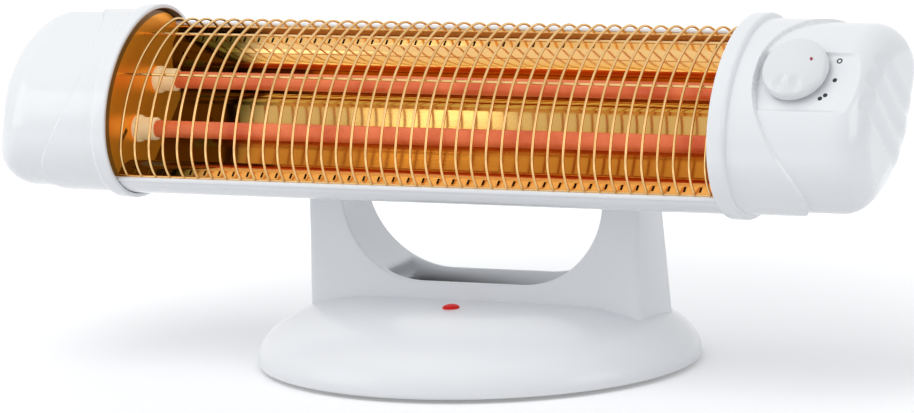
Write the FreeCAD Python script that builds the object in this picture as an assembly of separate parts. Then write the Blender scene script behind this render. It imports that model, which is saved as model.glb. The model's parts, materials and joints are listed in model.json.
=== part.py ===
import FreeCAD, Part
import math
import os

# Table-top quartz heater: an oval head with two glass tubes behind a wire guard, two moulded
# end caps, and a stand with a window under the head. Lengths in millimetres, angles in degrees.
# X runs along the head, the front faces -Y, Z is up, and the origin is on the table under the stand.

# Head: place and section
head_axis_y = -28.4
head_axis_z = 152.4
head_tilt = 47.0
mouth_half_span = 190.0
oval_half_height = 58.3
oval_half_depth = 44.6

# Clearances shared by all pieces
fit_gap = 0.3
touch_gap = 0.05
overrun = 10.0

# Sheet-metal shell behind the tubes
shell_wall = 0.8
shell_tuck = 6.5
hem_radius = 1.4

# End caps
cap_length = 86.0
cap_wall = 2.5
cap_end_wall = 4.4
end_round = 29.0
end_round_limit_share = 0.95
rim_proud = 2.8
rim_length = 10.0
rim_round = 1.2
rim_shoulder = 2.2
seat_depth = 8.0
sleeve_drop = 0.3
sleeve_length = 54.0
tongue_step = 2.0
tongue_gap = 21.0
tongue_radius = 67.0

# Louvred grooves across the end of each cap
groove_count = 3
groove_pitch = 15.5
groove_rise = -1.0
groove_depth = 1.9
groove_ledge = 1.2
groove_slope = 9.0

# Control: flat pocket in the right cap, knob and rotary switch
control_lean = 5.0
control_floor = 38.6
control_rise = -2.5
pocket_height = 36.0
knob_offset = 43.4
knob_rise = 3.5
knob_radius = 18.5
knob_lift = 2.4
knob_skirt = 2.4
knob_crown = 6.2
knob_edge_round = 3.2
knob_wall = 2.0
knob_hub_radius = 6.0
knob_hub_lift = 3.4
knob_dent_radius = 9.0
knob_dent_depth = 1.7
knob_dent_share = 0.66
knob_dent_turn = -90.0
pointer_radius = 1.2
pointer_depth = 0.5
pointer_share = 0.57
rest_angle = 18.0
shaft_radius = 3.0
shaft_gap = 0.05
shaft_entry = 8.0
bush_radius = 4.0
nut_flats = 11.0
nut_height = 1.6
switch_width = 24.0
switch_depth = 17.0
switch_collar_radius = 9.5
switch_collar_height = 5.0

# Quartz tubes, ceramics and terminals
tube_half_pitch = 17.9
tube_set_back = 3.6
tube_radius = 5.0
tube_wall = 1.1
tube_end_gap = 5.0
ceramic_radius = 6.6
ceramic_length = 14.0
ceramic_collar_radius = 8.0
ceramic_collar_length = 3.0
winding_radius = 3.0
winding_end_gap = 18.0
stud_radius = 1.6
stud_length = 12.0
tab_width = 6.3
tab_wall = 0.8

# Reflector and end plates
reflector_depth = 27.0
reflector_strip = 12.0
reflector_corner = 24.0
slot_half_width = 0.7
slot_length = 3.6
slot_set_out = 1.6
reflector_wall = 0.6
plate_inset = 5.0
plate_wall = 0.8
lead_slot_width = 3.0
lead_slot_height = 12.0
lead_slot_reach = 31.0

# Wire guard
hoop_count = 40
hoop_half_run = 185.0
ring_sides = 6
wire_radius = 0.8
rail_radius = 0.8
guard_depth = 32.0
guard_corner_radius = 22.0
mid_rail_rise = -4.0
top_rail_rise = 31.0
rail_tail = 1.8

# Stand column with its window
column_half_width = 106.7
column_centre_y = 17.0
column_foot_half_depth = 24.9
column_top_half_depth = 12.4
column_top_z = 132.0
column_wall = 3.0
column_edge_round = 3.0
window_floor_z = 45.6
pillar_width = 22.7
window_curve_width = 52.0
window_curve_height = 50.0
saddle_screw_rise = 9.0

# Base cover, plate and feet
base_side_margin = 26.1
base_half_width = 108.4
base_top_z = 35.5
base_edge_z = 4.5
base_lip_z = 2.6
base_crown_half_length = 62.0
base_wall = 2.6
plate_bottom_z = 3.0
plate_thickness = 2.5
foot_radius = 9.0
foot_spread_x = 88.0
foot_spread_y = 54.0
foot_crown = 0.6

# Screws and bosses
screw_radius = 1.9
screw_head_radius = 3.6
screw_head_height = 2.2
screw_head_bevel = 0.8
boss_radius = 4.6
boss_merge = 1.6
boss_height = 20.0
cover_boss_x = 68.0
cover_boss_y = 66.0
cover_boss_height = 14.0
cap_screw_set = 4.0
cap_screw_rise = 20.0
cap_screw_length = 7.0
access_hole_radius = 4.6
anchor_half_height = 8.0
anchor_thickness = 2.0

# Pilot light
lamp_x = -3.0
lamp_y = -24.0
lens_radius = 5.0
lens_height = 2.2
lens_edge_round = 0.8
lens_shank_radius = 4.0
lens_shank_length = 9.0
lamp_radius = 2.7
lamp_length = 21.0

# Tip-over switch
tip_x = 50.0
tip_y = -52.0
tip_travel = 4.0
tip_foot_radius = 7.0
tip_stem_radius = 3.5
tip_collar_radius = 6.0
tip_collar_height = 1.5
tip_pin_radius = 1.8
tip_pin_length = 10.0
tip_spring_space = 7.0
spring_wire_radius = 0.45
spring_mean_radius = 3.4
spring_turns = 4
tip_box_half_length = 15.0
tip_box_half_width = 7.0
tip_box_height = 10.0
tip_leg_width = 5.0

# Cord inlet and terminal block
inlet_z = 14.0
inlet_boss_radius = 8.5
inlet_set_in = 2.2
inlet_boss_length = 14.0
bush_flange_radius = 7.4
bush_flange_height = 1.4
bush_shank_radius = 5.2
bush_bore_radius = 3.7
bush_length = 17.0
block_set_in = 36.4
block_half_length = 19.0
block_half_width = 8.0
block_foot_height = 4.0
block_pole_count = 3
block_pole_radius = 5.2
block_pole_height = 12.0

V = FreeCAD.Vector
ORIGIN = V(0, 0, 0)
X_AXIS = V(1, 0, 0)
Y_AXIS = V(0, 1, 0)
Z_AXIS = V(0, 0, 1)

# Values that follow from the driving dimensions
sleeve_grow = -sleeve_drop
body_grow = sleeve_grow - tongue_step
cavity_grow = body_grow - cap_wall
cap_end = mouth_half_span + cap_length
plate_x = mouth_half_span + plate_inset
shell_half_length = mouth_half_span + shell_tuck
plate_top_z = plate_bottom_z + plate_thickness
knob_x = mouth_half_span + knob_offset
window_half_width = column_half_width - pillar_width
window_flat_half_width = window_half_width - window_curve_width
pillar_x = (window_half_width + column_half_width) / 2
anchor_half_width = pillar_width / 2
base_half_length = column_half_width + base_side_margin
inlet_face_y = base_half_width - inlet_set_in
block_y = base_half_width - block_set_in
tube_half_length = plate_x - tube_end_gap
hem_centre = oval_half_height - hem_radius
edge_rail_rise = hem_centre - hem_radius - rail_radius - touch_gap


def rod(radius, length, start, direction):
    """Round bar from a start point along a direction."""
    return Part.makeCylinder(radius, length, start, direction)


def block(low, high):
    """Box between two corners."""
    size = high - low
    return Part.makeBox(size.x, size.y, size.z, low)


def turned(points, axis_start, axis):
    """Solid of revolution from a closed outline of straight runs."""
    outline = Part.makePolygon(points + points[:1])
    return Part.Face(outline).revolve(axis_start, axis)


def mirrored(shape):
    """The other hand of a piece, across the middle plane of the head."""
    return shape.mirror(ORIGIN, X_AXIS)


def both_ends(shape):
    """A piece and its mirror image as one group of solids."""
    return Part.makeCompound([shape, mirrored(shape)])


def seat_on_head(shape):
    """Tilt a piece drawn with the head facing straight forward, and lift it to the head's axis."""
    seated = shape.copy()
    seated.rotate(ORIGIN, X_AXIS, -head_tilt)
    seated.translate(V(0, head_axis_y, head_axis_z))
    return seated


def lean_control(shape):
    """Turn a piece drawn on the head's facing line down to the control pocket's facing line."""
    leaned = shape.copy()
    leaned.rotate(ORIGIN, X_AXIS, control_lean)
    return leaned


def oval_bar(grow, start, end):
    """Bar along X with the head's oval section, grown all round."""
    tall = V(start, 0, oval_half_height + grow)
    deep = V(start, oval_half_depth + grow, 0)
    first, second = (tall, deep) if tall.z >= deep.y else (deep, tall)
    oval = Part.Ellipse(first, second, V(start, 0, 0))
    return Part.Face(Part.Wire(oval.toShape())).extrude(V(end - start, 0, 0))


def edges_at(shape, x):
    """Edges of a shape that lie in the plane across X."""
    boxes = [(e, e.BoundBox) for e in shape.Edges]
    return [e for e, box in boxes if abs(box.XMin - x) < touch_gap and box.XLength < touch_gap]


def rounded_bar(grow, start, end, radius):
    """Oval bar whose outer end runs over into a rounding, kept under the oval's tightest curve."""
    tightest = (oval_half_depth + grow) ** 2 / (oval_half_height + grow)
    bar = oval_bar(grow, start, end)
    return bar.makeFillet(min(radius, end_round_limit_share * tightest), edges_at(bar, end))


def quarter_oval(centre, wide, high):
    """Quarter of an ellipse from a point beside its centre to a point square to that."""
    level = (wide - centre).Length >= (high - centre).Length
    first, second = (wide, high) if level else (high, wide)
    oval = Part.Ellipse(first, second, centre)
    ends = sorted((oval.parameter(wide), oval.parameter(high)))
    if ends[1] - ends[0] > math.pi:
        ends = [ends[1], ends[0] + 2 * math.pi]
    return Part.ArcOfEllipse(oval, ends[0], ends[1]).toShape()


def wire_ring(centre, across, upward, radius):
    """Closed hexagon about a centre, in the plane of two square directions."""
    ring = []
    for i in range(ring_sides + 1):
        turn = 2 * math.pi * i / ring_sides
        ring.append(centre + (across * math.cos(turn) + upward * math.sin(turn)) * radius)
    return Part.makePolygon(ring)


def arch(half_span, height, corner):
    """Depth of the crown's centre, crown radius and joint angle of an arch with upright ends."""
    run = half_span - corner
    rise = height - corner
    centre = (run ** 2 - rise ** 2) / (2 * rise)
    return centre, height + centre, math.atan2(run, centre)


def dome_edges(half_span, height, corner, foot_z):
    """Half of such an arch beside the Z axis, from its upright end up to its crown."""
    centre, radius, joint = arch(half_span, height, corner)

    def crown(angle):
        return V(radius * math.sin(angle), 0, foot_z + radius * math.cos(angle) - centre)

    def bend(angle):
        return V(half_span - corner + corner * math.sin(angle), 0, foot_z + corner * math.cos(angle))

    upright = math.pi / 2
    return [
        Part.Arc(bend(upright), bend((upright + joint) / 2), crown(joint)).toShape(),
        Part.Arc(crown(joint), crown(joint / 2), crown(0)).toShape(),
    ]


def front_half(depth_from_axis):
    """Block that takes away everything in front of a plane across the head."""
    reach = cap_end + overrun
    tall = oval_half_height + rim_proud + overrun
    return block(V(-reach, -tall, -tall), V(reach, depth_from_axis, tall))


def pan_screw(length, seat, direction):
    """Pan-head screw whose head rests on the seat point, with its shank along the direction."""
    outline = [
        V(0, 0, length),
        V(screw_radius, 0, length),
        V(screw_radius, 0, 0),
        V(screw_head_radius, 0, 0),
        V(screw_head_radius, 0, screw_head_bevel - screw_head_height),
        V(screw_head_radius - screw_head_bevel, 0, -screw_head_height),
        V(0, 0, -screw_head_height),
    ]
    screw = turned(outline, ORIGIN, Z_AXIS)
    screw.Placement = FreeCAD.Placement(seat, FreeCAD.Rotation(Z_AXIS, direction))
    return screw


# Head pieces, drawn facing straight forward


def rear_shell():
    """Half-oval sheet trough with a rolled hem along each long edge."""
    outer = oval_bar(0, -shell_half_length, shell_half_length)
    inner = oval_bar(-shell_wall, -shell_half_length - overrun, shell_half_length + overrun)
    trough = outer.cut(inner).cut(front_half(0))
    for side in (1, -1):
        start = V(-shell_half_length, 0, side * hem_centre)
        trough = trough.fuse(rod(hem_radius, 2 * shell_half_length, start, X_AXIS))
    for side in (1, -1):
        start = V(side * pillar_x, 0, saddle_screw_rise)
        trough = trough.cut(rod(screw_radius + fit_gap, oval_half_depth + overrun, start, Y_AXIS))
        for rise in (cap_screw_rise, -cap_screw_rise):
            start = V(side * (mouth_half_span + cap_screw_set), 0, rise)
            trough = trough.cut(rod(screw_radius + touch_gap, oval_half_depth + overrun, start, Y_AXIS))
    return trough.removeSplitter()


def reflector():
    """Polished sheet: a flat back, round corners, short walls and a slotted flat strip along each edge."""
    half_length = plate_x - touch_gap
    rear = tube_set_back + reflector_wall
    floor = tube_set_back + reflector_depth
    mouth = hem_centre - reflector_strip
    bend_y = floor - reflector_corner
    bend_z = mouth - reflector_corner
    half_right = math.cos(math.pi / 4)

    def place(y, z):
        return V(-half_length, y, z)

    def line(y1, z1, y2, z2):
        return Part.makeLine(place(y1, z1), place(y2, z2))

    def corner(radius, side):
        middle = place(bend_y + radius * half_right, side * (bend_z + radius * half_right))
        start = place(bend_y + radius, side * bend_z)
        return Part.Arc(start, middle, place(bend_y, side * (bend_z + radius))).toShape()

    edges = [line(floor, -bend_z, floor, bend_z)]
    edges.append(line(floor + reflector_wall, -bend_z, floor + reflector_wall, bend_z))
    for side in (1, -1):
        wall = side * mouth
        back_wall = side * (mouth + reflector_wall)
        hem = side * hem_centre
        edges.append(corner(reflector_corner, side))
        edges.append(corner(reflector_corner + reflector_wall, side))
        edges.append(line(bend_y, wall, tube_set_back, wall))
        edges.append(line(tube_set_back, wall, tube_set_back, hem))
        edges.append(line(tube_set_back, hem, rear, hem))
        edges.append(line(rear, hem, rear, back_wall))
        edges.append(line(rear, back_wall, bend_y, back_wall))
    outline = Part.Wire(Part.__sortEdges__(edges))
    sheet = Part.Face(outline).extrude(V(2 * half_length, 0, 0))
    return sheet.cut(strip_slots(mouth + slot_set_out))


def strip_slots(start):
    """Boxes of the slots that both strips have beside each hoop."""
    thick = reflector_wall + 2 * overrun
    slots = []
    for x in hoop_places():
        low = V(x - slot_half_width, tube_set_back - overrun, start)
        upper = Part.makeBox(2 * slot_half_width, thick, slot_length, low)
        slots.append(upper)
        slots.append(upper.mirror(V(0, 0, 0), Z_AXIS))
    return slots


def end_plate():
    """Oval sheet that closes the trough, with holes for terminals, rails and leads."""
    plate = oval_bar(-shell_wall - fit_gap, plate_x, plate_x + plate_wall)
    drill = plate_wall + 2 * overrun
    for rise in (tube_half_pitch, -tube_half_pitch):
        start = V(plate_x - overrun, tube_set_back, rise)
        plate = plate.cut(rod(stud_radius + fit_gap, drill, start, X_AXIS))
    for y, z in rail_places():
        plate = plate.cut(rod(rail_radius + touch_gap, drill, V(plate_x - overrun, y, z), X_AXIS))
    for side in (1, -1):
        hem_start = V(plate_x - overrun, 0, side * hem_centre)
        plate = plate.cut(rod(hem_radius + touch_gap, drill, hem_start, X_AXIS))
    for seat in cap_screw_seats(1):
        plate = plate.cut(rod(screw_radius + fit_gap, cap_screw_length + fit_gap, seat, Y_AXIS * -1))
    for side in (1, -1):
        middle = side * lead_slot_reach
        low = V(plate_x - overrun, -tube_set_back - lead_slot_width, middle - lead_slot_height / 2)
        high = V(plate_x + overrun, -tube_set_back, middle + lead_slot_height / 2)
        plate = plate.cut(block(low, high))
    return plate


def cap_blank(pocketed):
    """Solid form of an end cap: rounded body, raised sleeve with a curved edge, and proud rim."""
    body = rounded_bar(body_grow, mouth_half_span, cap_end, end_round)
    if pocketed:
        body = body.cut(control_pocket(0))
    reach = oval_half_depth + rim_proud + overrun
    tongue_centre = V(mouth_half_span + tongue_gap + tongue_radius, -reach, 0)
    sleeve = oval_bar(sleeve_grow, mouth_half_span, mouth_half_span + sleeve_length)
    sleeve = sleeve.cut(rod(tongue_radius, 2 * reach, tongue_centre, Y_AXIS))
    rim = oval_bar(rim_proud, mouth_half_span, mouth_half_span + rim_length)
    rim = rim.makeFillet(rim_round, edges_at(rim, mouth_half_span))
    rim = rim.makeFillet(rim_shoulder, edges_at(rim, mouth_half_span + rim_length))
    return body.fuse([sleeve, rim]).removeSplitter()


def control_pocket(lift):
    """Block above the flat floor of the control pocket, on the facing line of the control."""
    tall = oval_half_height + overrun
    low = V(mouth_half_span, -tall, control_rise - pocket_height / 2 - lift)
    high = V(cap_end + overrun, -control_floor + lift, control_rise + pocket_height / 2 + lift)
    return lean_control(block(low, high))


def cap_hollow(pocketed):
    """Inside of a cap: seat for the shell's end and the hollow behind it."""
    inner_round = end_round - cap_wall
    hollow = rounded_bar(cavity_grow, mouth_half_span - overrun, cap_end - cap_end_wall, inner_round)
    if pocketed:
        hollow = hollow.cut(control_pocket(cap_wall))
    return hollow.fuse(oval_bar(fit_gap, mouth_half_span - overrun, mouth_half_span + seat_depth))


def air_grooves():
    """Wedge cutters across the cap's end: a short ledge below and a long slope above each crease."""
    cutters = []
    for i in range(groove_count):
        rise = groove_rise + (i - (groove_count - 1) / 2) * groove_pitch
        outline = [
            V(cap_end - groove_depth, -oval_half_depth, rise),
            V(cap_end + overrun, -oval_half_depth, rise - groove_ledge * (1 + overrun / groove_depth)),
            V(cap_end + overrun, -oval_half_depth, rise + groove_slope * (1 + overrun / groove_depth)),
        ]
        wedge = Part.Face(Part.makePolygon(outline + outline[:1]))
        cutters.append(wedge.extrude(V(0, 2 * oval_half_depth, 0)))
    return cutters


def cap_screw_seats(side):
    """Seat points and holes for the two screws at the back of a cap's rim."""
    seats = []
    for rise in (cap_screw_rise, -cap_screw_rise):
        share = math.sqrt(1 - (rise / (oval_half_height + fit_gap)) ** 2)
        face = (oval_half_depth + fit_gap) * share + rim_proud / 2
        seats.append(V(side * (mouth_half_span + cap_screw_set), face, rise))
    return seats


def end_cap(pocketed):
    """Hollow moulded cap for one end of the head, drawn at the right end."""
    cap = cap_blank(pocketed).cut(cap_hollow(pocketed))
    for seat in cap_screw_seats(1):
        cap = cap.cut(rod(screw_radius + fit_gap, overrun, seat - Y_AXIS * overrun, Y_AXIS))
        cap = cap.cut(rod(screw_head_radius + fit_gap, overrun, seat, Y_AXIS))
    if pocketed:
        start = V(knob_x, -control_floor - overrun, knob_rise)
        cap = cap.cut(lean_control(rod(bush_radius + touch_gap, overrun + 2 * cap_wall, start, Y_AXIS)))
    return cap.cut(air_grooves()).removeSplitter()


def cap_screws():
    """Four screws that hold the caps' rims to the shell from behind."""
    screws = []
    for side in (1, -1):
        for seat in cap_screw_seats(side):
            screws.append(pan_screw(cap_screw_length, seat, Y_AXIS * -1))
    return Part.makeCompound(screws)


def quartz_tube(rise):
    """Plain glass tube along the head."""
    start = V(-tube_half_length, tube_set_back, rise)
    outside = rod(tube_radius, 2 * tube_half_length, start, X_AXIS)
    inside = rod(tube_radius - tube_wall, 2 * tube_half_length, start, X_AXIS)
    return outside.cut(inside)


def winding(rise):
    """Heating winding as its outer form, with a lead at each end that reaches the terminal studs."""
    half_coil = tube_half_length - winding_end_gap
    coil = rod(winding_radius, 2 * half_coil, V(-half_coil, tube_set_back, rise), X_AXIS)
    lead = rod(stud_radius / 2, 2 * tube_half_length, V(-tube_half_length, tube_set_back, rise), X_AXIS)
    return coil.fuse(lead).removeSplitter()


def ceramic_holder(rise):
    """Ceramic cup over one end of a tube, with a collar that stands on the end plate."""
    seat = plate_x - touch_gap
    mouth = seat - ceramic_length
    bore = tube_radius + touch_gap
    outline = [
        V(tube_half_length + touch_gap, 0, stud_radius + touch_gap),
        V(seat, 0, stud_radius + touch_gap),
        V(seat, 0, ceramic_collar_radius),
        V(seat - ceramic_collar_length, 0, ceramic_collar_radius),
        V(seat - ceramic_collar_length, 0, ceramic_radius),
        V(mouth, 0, ceramic_radius),
        V(mouth, 0, bore),
        V(tube_half_length + touch_gap, 0, bore),
    ]
    cup = turned(outline, ORIGIN, X_AXIS)
    cup.translate(V(0, tube_set_back, rise))
    return cup


def terminal_stud(rise):
    """Terminal behind a ceramic: a round stud with a flat tab on its outer end."""
    start = tube_half_length + touch_gap
    tab_start = plate_x + plate_wall + stud_radius
    stud = rod(stud_radius, tab_start + stud_radius - start, V(start, tube_set_back, rise), X_AXIS)
    low = V(tab_start, tube_set_back - tab_wall / 2, rise - tab_width / 2)
    high = V(tab_start + stud_length, tube_set_back + tab_wall / 2, rise + tab_width / 2)
    return stud.fuse(block(low, high)).removeSplitter()


def rail_places():
    """Places of the guard's long wires: one along each hem and two inside the crown."""
    centre, radius, _ = arch(edge_rail_rise, guard_depth, guard_corner_radius)
    inner = radius - wire_radius - rail_radius - touch_gap
    places = [(0, edge_rail_rise), (0, -edge_rail_rise)]
    for rise in (mid_rail_rise, top_rail_rise):
        angle = math.asin(rise / radius)
        places.append((centre - inner * math.cos(angle), inner * math.sin(angle)))
    return places


def hoop_places():
    """Places of the hoops along the head, at an even pitch."""
    pitch = 2 * hoop_half_run / (hoop_count - 1)
    return [pitch * i - hoop_half_run for i in range(hoop_count)]


def guard_hoop(x):
    """One bent guard wire: a crown arc between two corner arcs, butted on the edge rails."""
    centre, radius, joint = arch(edge_rail_rise, guard_depth, guard_corner_radius)
    corner_z = edge_rail_rise - guard_corner_radius
    start_y = -rail_radius - touch_gap

    def crown(angle):
        return V(x, centre - radius * math.cos(angle), radius * math.sin(angle))

    def corner(angle, side):
        y = -guard_corner_radius * math.cos(angle)
        return V(x, y, side * (corner_z + guard_corner_radius * math.sin(angle)))

    spring = math.acos(-start_y / guard_corner_radius)
    middle = (spring + joint) / 2
    edges = [
        Part.Arc(corner(spring, -1), corner(middle, -1), crown(-joint)).toShape(),
        Part.Arc(crown(-joint), crown(0), crown(joint)).toShape(),
        Part.Arc(crown(joint), corner(middle, 1), corner(spring, 1)).toShape(),
    ]
    path = Part.Wire(edges)
    tangent = edges[0].tangentAt(edges[0].FirstParameter)
    pipe = Part.BRepOffsetAPI.MakePipeShell(path)
    pipe.add(wire_ring(corner(spring, -1), X_AXIS, tangent.cross(X_AXIS), wire_radius))
    pipe.build()
    pipe.makeSolid()
    return pipe.shape()


def guard_hoops():
    """All hoops of the guard at an even pitch."""
    hoop = guard_hoop(0)
    return Part.makeCompound([hoop.translated(V(x, 0, 0)) for x in hoop_places()])


def guard_rails():
    """Long wires that carry the hoops and end in the end plates."""
    half = plate_x + plate_wall + rail_tail
    return Part.makeCompound([rod(rail_radius, 2 * half, V(-half, y, z), X_AXIS) for y, z in rail_places()])


def anchor_plates():
    """Threaded plates inside the shell for the screws that come up through the stand."""
    top = saddle_screw_rise + anchor_half_height
    bottom = saddle_screw_rise - anchor_half_height
    rise_share = top / (oval_half_height - shell_wall)
    face = (oval_half_depth - shell_wall) * math.sqrt(1 - rise_share ** 2) - touch_gap
    low = V(pillar_x - anchor_half_width, face - anchor_thickness, bottom)
    high = V(pillar_x + anchor_half_width, face, top)
    drill = rod(screw_radius + touch_gap, oval_half_depth, V(pillar_x, 0, saddle_screw_rise), Y_AXIS)
    return both_ends(block(low, high).cut(drill))


# Control pieces, drawn on the pocket's facing line with the knob's axis along Y


def control_at(shape):
    """Set a control piece drawn about the Y axis on the knob's axis in the tilted head."""
    placed = shape.translated(V(knob_x, -control_floor, knob_rise))
    return seat_on_head(lean_control(placed))


def knob():
    """Round domed knob with a hub, a finger dent low on its face and a small pointer dimple."""
    skirt_top = knob_lift + knob_skirt
    crown_top = skirt_top + knob_crown
    bore_top = crown_top - 2 * knob_wall
    inner = knob_radius - knob_wall
    runs = [
        V(0, 0, crown_top),
        V(0, 0, bore_top),
        V(shaft_radius + touch_gap, 0, bore_top),
        V(shaft_radius + touch_gap, 0, knob_hub_lift),
        V(knob_hub_radius, 0, knob_hub_lift),
        V(knob_hub_radius, 0, skirt_top + knob_wall),
        V(inner - knob_wall, 0, skirt_top + knob_wall / 2),
        V(inner, 0, skirt_top),
        V(inner, 0, knob_lift),
        V(knob_radius, 0, knob_lift),
        V(knob_radius, 0, skirt_top),
    ]
    dome = dome_edges(knob_radius, knob_crown, knob_edge_round, skirt_top)
    outline = Part.Wire(Part.__sortEdges__(dome + Part.makePolygon(runs).Edges))
    shape = Part.Face(outline).revolve(ORIGIN, Z_AXIS)
    centre, radius, _ = arch(knob_radius, knob_crown, knob_edge_round)

    def on_dome(turn, share, lift):
        reach = knob_radius * share
        height = skirt_top - centre + math.sqrt(radius ** 2 - reach ** 2) + lift
        angle = math.radians(turn)
        return V(reach * math.cos(angle), reach * math.sin(angle), height)

    dent = on_dome(knob_dent_turn, knob_dent_share, knob_dent_radius - knob_dent_depth)
    shape = shape.cut(Part.makeSphere(knob_dent_radius, dent))
    spot = on_dome(rest_angle, pointer_share, -pointer_depth)
    shape = shape.cut(rod(pointer_radius, overrun, spot, Z_AXIS))
    shape.rotate(ORIGIN, X_AXIS, math.degrees(math.pi / 2))
    return shape


def switch_shaft():
    """Round shaft from inside the switch up into the knob's hub."""
    top = knob_lift + knob_skirt + knob_crown - 2 * knob_wall - touch_gap
    foot = cap_wall + shaft_entry
    return rod(shaft_radius, top + foot, V(0, foot, 0), Y_AXIS * -1)


def rotary_switch():
    """Switch body behind the pocket wall, with a threaded bush through the wall."""
    back = cap_wall
    half = switch_width / 2
    base_start = back + switch_collar_height
    body = block(V(-half, base_start, -half), V(half, back + switch_depth, half))
    seat = V(0, back + touch_gap, 0)
    body = body.fuse(rod(switch_collar_radius, switch_collar_height, seat, Y_AXIS))
    body = body.fuse(rod(bush_radius, back + nut_height + touch_gap * 2, seat, Y_AXIS * -1))
    bore = rod(shaft_radius + shaft_gap, shaft_entry + fit_gap + overrun + back, V(0, -overrun, 0), Y_AXIS)
    for side in (1, -1):
        tab_low = V(side * half / 2 - tab_width / 2, back + switch_depth, -tab_wall / 2)
        body = body.fuse(Part.makeBox(tab_width, tab_width, tab_wall, tab_low))
    return body.cut(bore).removeSplitter()


def switch_nut():
    """Flat hexagon nut that clamps the switch to the pocket floor."""
    ring = wire_ring(Y_AXIS * -touch_gap, X_AXIS, Z_AXIS, nut_flats / math.sqrt(3))
    nut = Part.Face(ring).extrude(V(0, -nut_height, 0))
    return nut.cut(rod(bush_radius + touch_gap, 2 * overrun, V(0, -overrun, 0), Y_AXIS))


# Stand pieces


def column_block(grow, foot_z):
    """Tapered block of the stand's column, with its narrow side drawn in the YZ plane."""
    top_z = column_top_z + grow
    slope = (column_foot_half_depth - column_top_half_depth) / (column_top_z - plate_top_z)
    foot_half = column_foot_half_depth + (plate_top_z - foot_z) * slope + grow
    top_half = column_top_half_depth - grow * slope + grow
    half_width = column_half_width + grow
    corners = [
        V(-half_width, column_centre_y - foot_half, foot_z),
        V(-half_width, column_centre_y + foot_half, foot_z),
        V(-half_width, column_centre_y + top_half, top_z),
        V(-half_width, column_centre_y - top_half, top_z),
    ]
    side = Part.Face(Part.makePolygon(corners + corners[:1]))
    return side.extrude(V(2 * half_width, 0, 0))


def column_window(grow):
    """Bowl-shaped window under the head: flat floor, two curved corners and upright sides."""
    y = column_centre_y - column_foot_half_depth - overrun
    floor_z = window_floor_z - grow
    turn_z = window_floor_z + window_curve_height
    flat = window_flat_half_width
    half = window_half_width + grow
    top_z = column_top_z + overrun + grow

    def corner(side):
        centre = V(side * flat, y, turn_z)
        return quarter_oval(centre, V(side * half, y, turn_z), V(side * flat, y, floor_z))

    edges = [corner(1), corner(-1)]
    edges.append(Part.makeLine(V(-flat, y, floor_z), V(flat, y, floor_z)))
    for side in (1, -1):
        edges.append(Part.makeLine(V(side * half, y, turn_z), V(side * half, y, top_z)))
    edges.append(Part.makeLine(V(-half, y, top_z), V(half, y, top_z)))
    outline = Part.Wire(Part.__sortEdges__(edges))
    return Part.Face(outline).extrude(V(0, 2 * (column_foot_half_depth + overrun), 0))


def column_bosses():
    """Screw bosses in the four corners of the column's foot, run into its walls."""
    inner_x = column_half_width - column_wall
    inner_y = column_foot_half_depth - column_wall
    reach_x = inner_x - boss_radius + boss_merge
    reach_y = inner_y - boss_radius + boss_merge - touch_gap
    return [(sx * reach_x, column_centre_y + sy * reach_y) for sx in (1, -1) for sy in (1, -1)]


def stand_column():
    """Hollow column that carries the head on two concave saddles, open underneath."""
    head_length = column_half_width + overrun
    outside = column_block(0, plate_top_z)
    upright = [e for e in outside.Edges if e.BoundBox.XLength < touch_gap and e.BoundBox.ZLength > overrun]
    outside = outside.makeFillet(column_edge_round, upright)
    outside = outside.cut(column_window(0))
    outside = outside.cut(seat_on_head(oval_bar(fit_gap, -head_length, head_length)))
    hollow = column_block(-column_wall, plate_top_z - overrun)
    hollow = hollow.cut(column_window(column_wall))
    hollow = hollow.cut(seat_on_head(oval_bar(fit_gap + column_wall, -head_length, head_length)))
    column = outside.cut(hollow)
    for x, y in column_bosses():
        post = rod(boss_radius, boss_height, V(x, y, plate_top_z), Z_AXIS).common(outside)
        column = column.fuse(post)
    for x, y in column_bosses():
        foot = V(x, y, plate_top_z - overrun)
        column = column.cut(rod(screw_radius + touch_gap, boss_height, foot, Z_AXIS))
    for side in (1, -1):
        start = V(side * pillar_x, 0, saddle_screw_rise)
        column = column.cut(seat_on_head(rod(screw_radius + fit_gap, oval_half_height, start, Y_AXIS)))
        under = start + Y_AXIS * (saddle_seat() - touch_gap)
        access = rod(access_hole_radius, oval_half_height + overrun, under, Y_AXIS)
        column = column.cut(seat_on_head(access))
    return column.removeSplitter()


def saddle_seat():
    """Depth from the head's axis at which the saddle screws' heads bear under the saddles."""
    deep = oval_half_depth + fit_gap + column_wall
    tall = oval_half_height + fit_gap + column_wall
    return deep * math.sqrt(1 - (saddle_screw_rise / tall) ** 2)


def saddle_screws():
    """Two long screws through the saddles into the anchor plates."""
    length = saddle_seat() - oval_half_depth + shell_wall + 3 * anchor_thickness
    seat = V(pillar_x, saddle_seat(), saddle_screw_rise)
    return both_ends(pan_screw(length, seat, Y_AXIS * -1))


def cover_form(inset, floor_z):
    """Solid form of the base cover: flat crown, elliptical fall to the edge, oval in plan."""
    reach = base_half_length - inset
    top_z = base_top_z - inset
    crown = base_crown_half_length
    wide = V(reach, 0, base_edge_z)
    high = V(crown, 0, top_z)
    fall = quarter_oval(V(crown, 0, base_edge_z), wide, high)
    runs = Part.makePolygon([high, V(0, 0, top_z), V(0, 0, floor_z), V(reach, 0, floor_z), wide])
    outline = Part.Wire(Part.__sortEdges__([fall] + runs.Edges))
    round_form = Part.Face(outline).revolve(ORIGIN, Z_AXIS)
    squeeze = FreeCAD.Matrix()
    squeeze.scale(1, (base_half_width - inset) / reach, 1)
    return round_form.transformGeometry(squeeze)


def cover_bosses():
    """Places of the screw bosses inside the base cover."""
    return [(sx * cover_boss_x, sy * cover_boss_y) for sx in (1, -1) for sy in (1, -1)]


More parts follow.
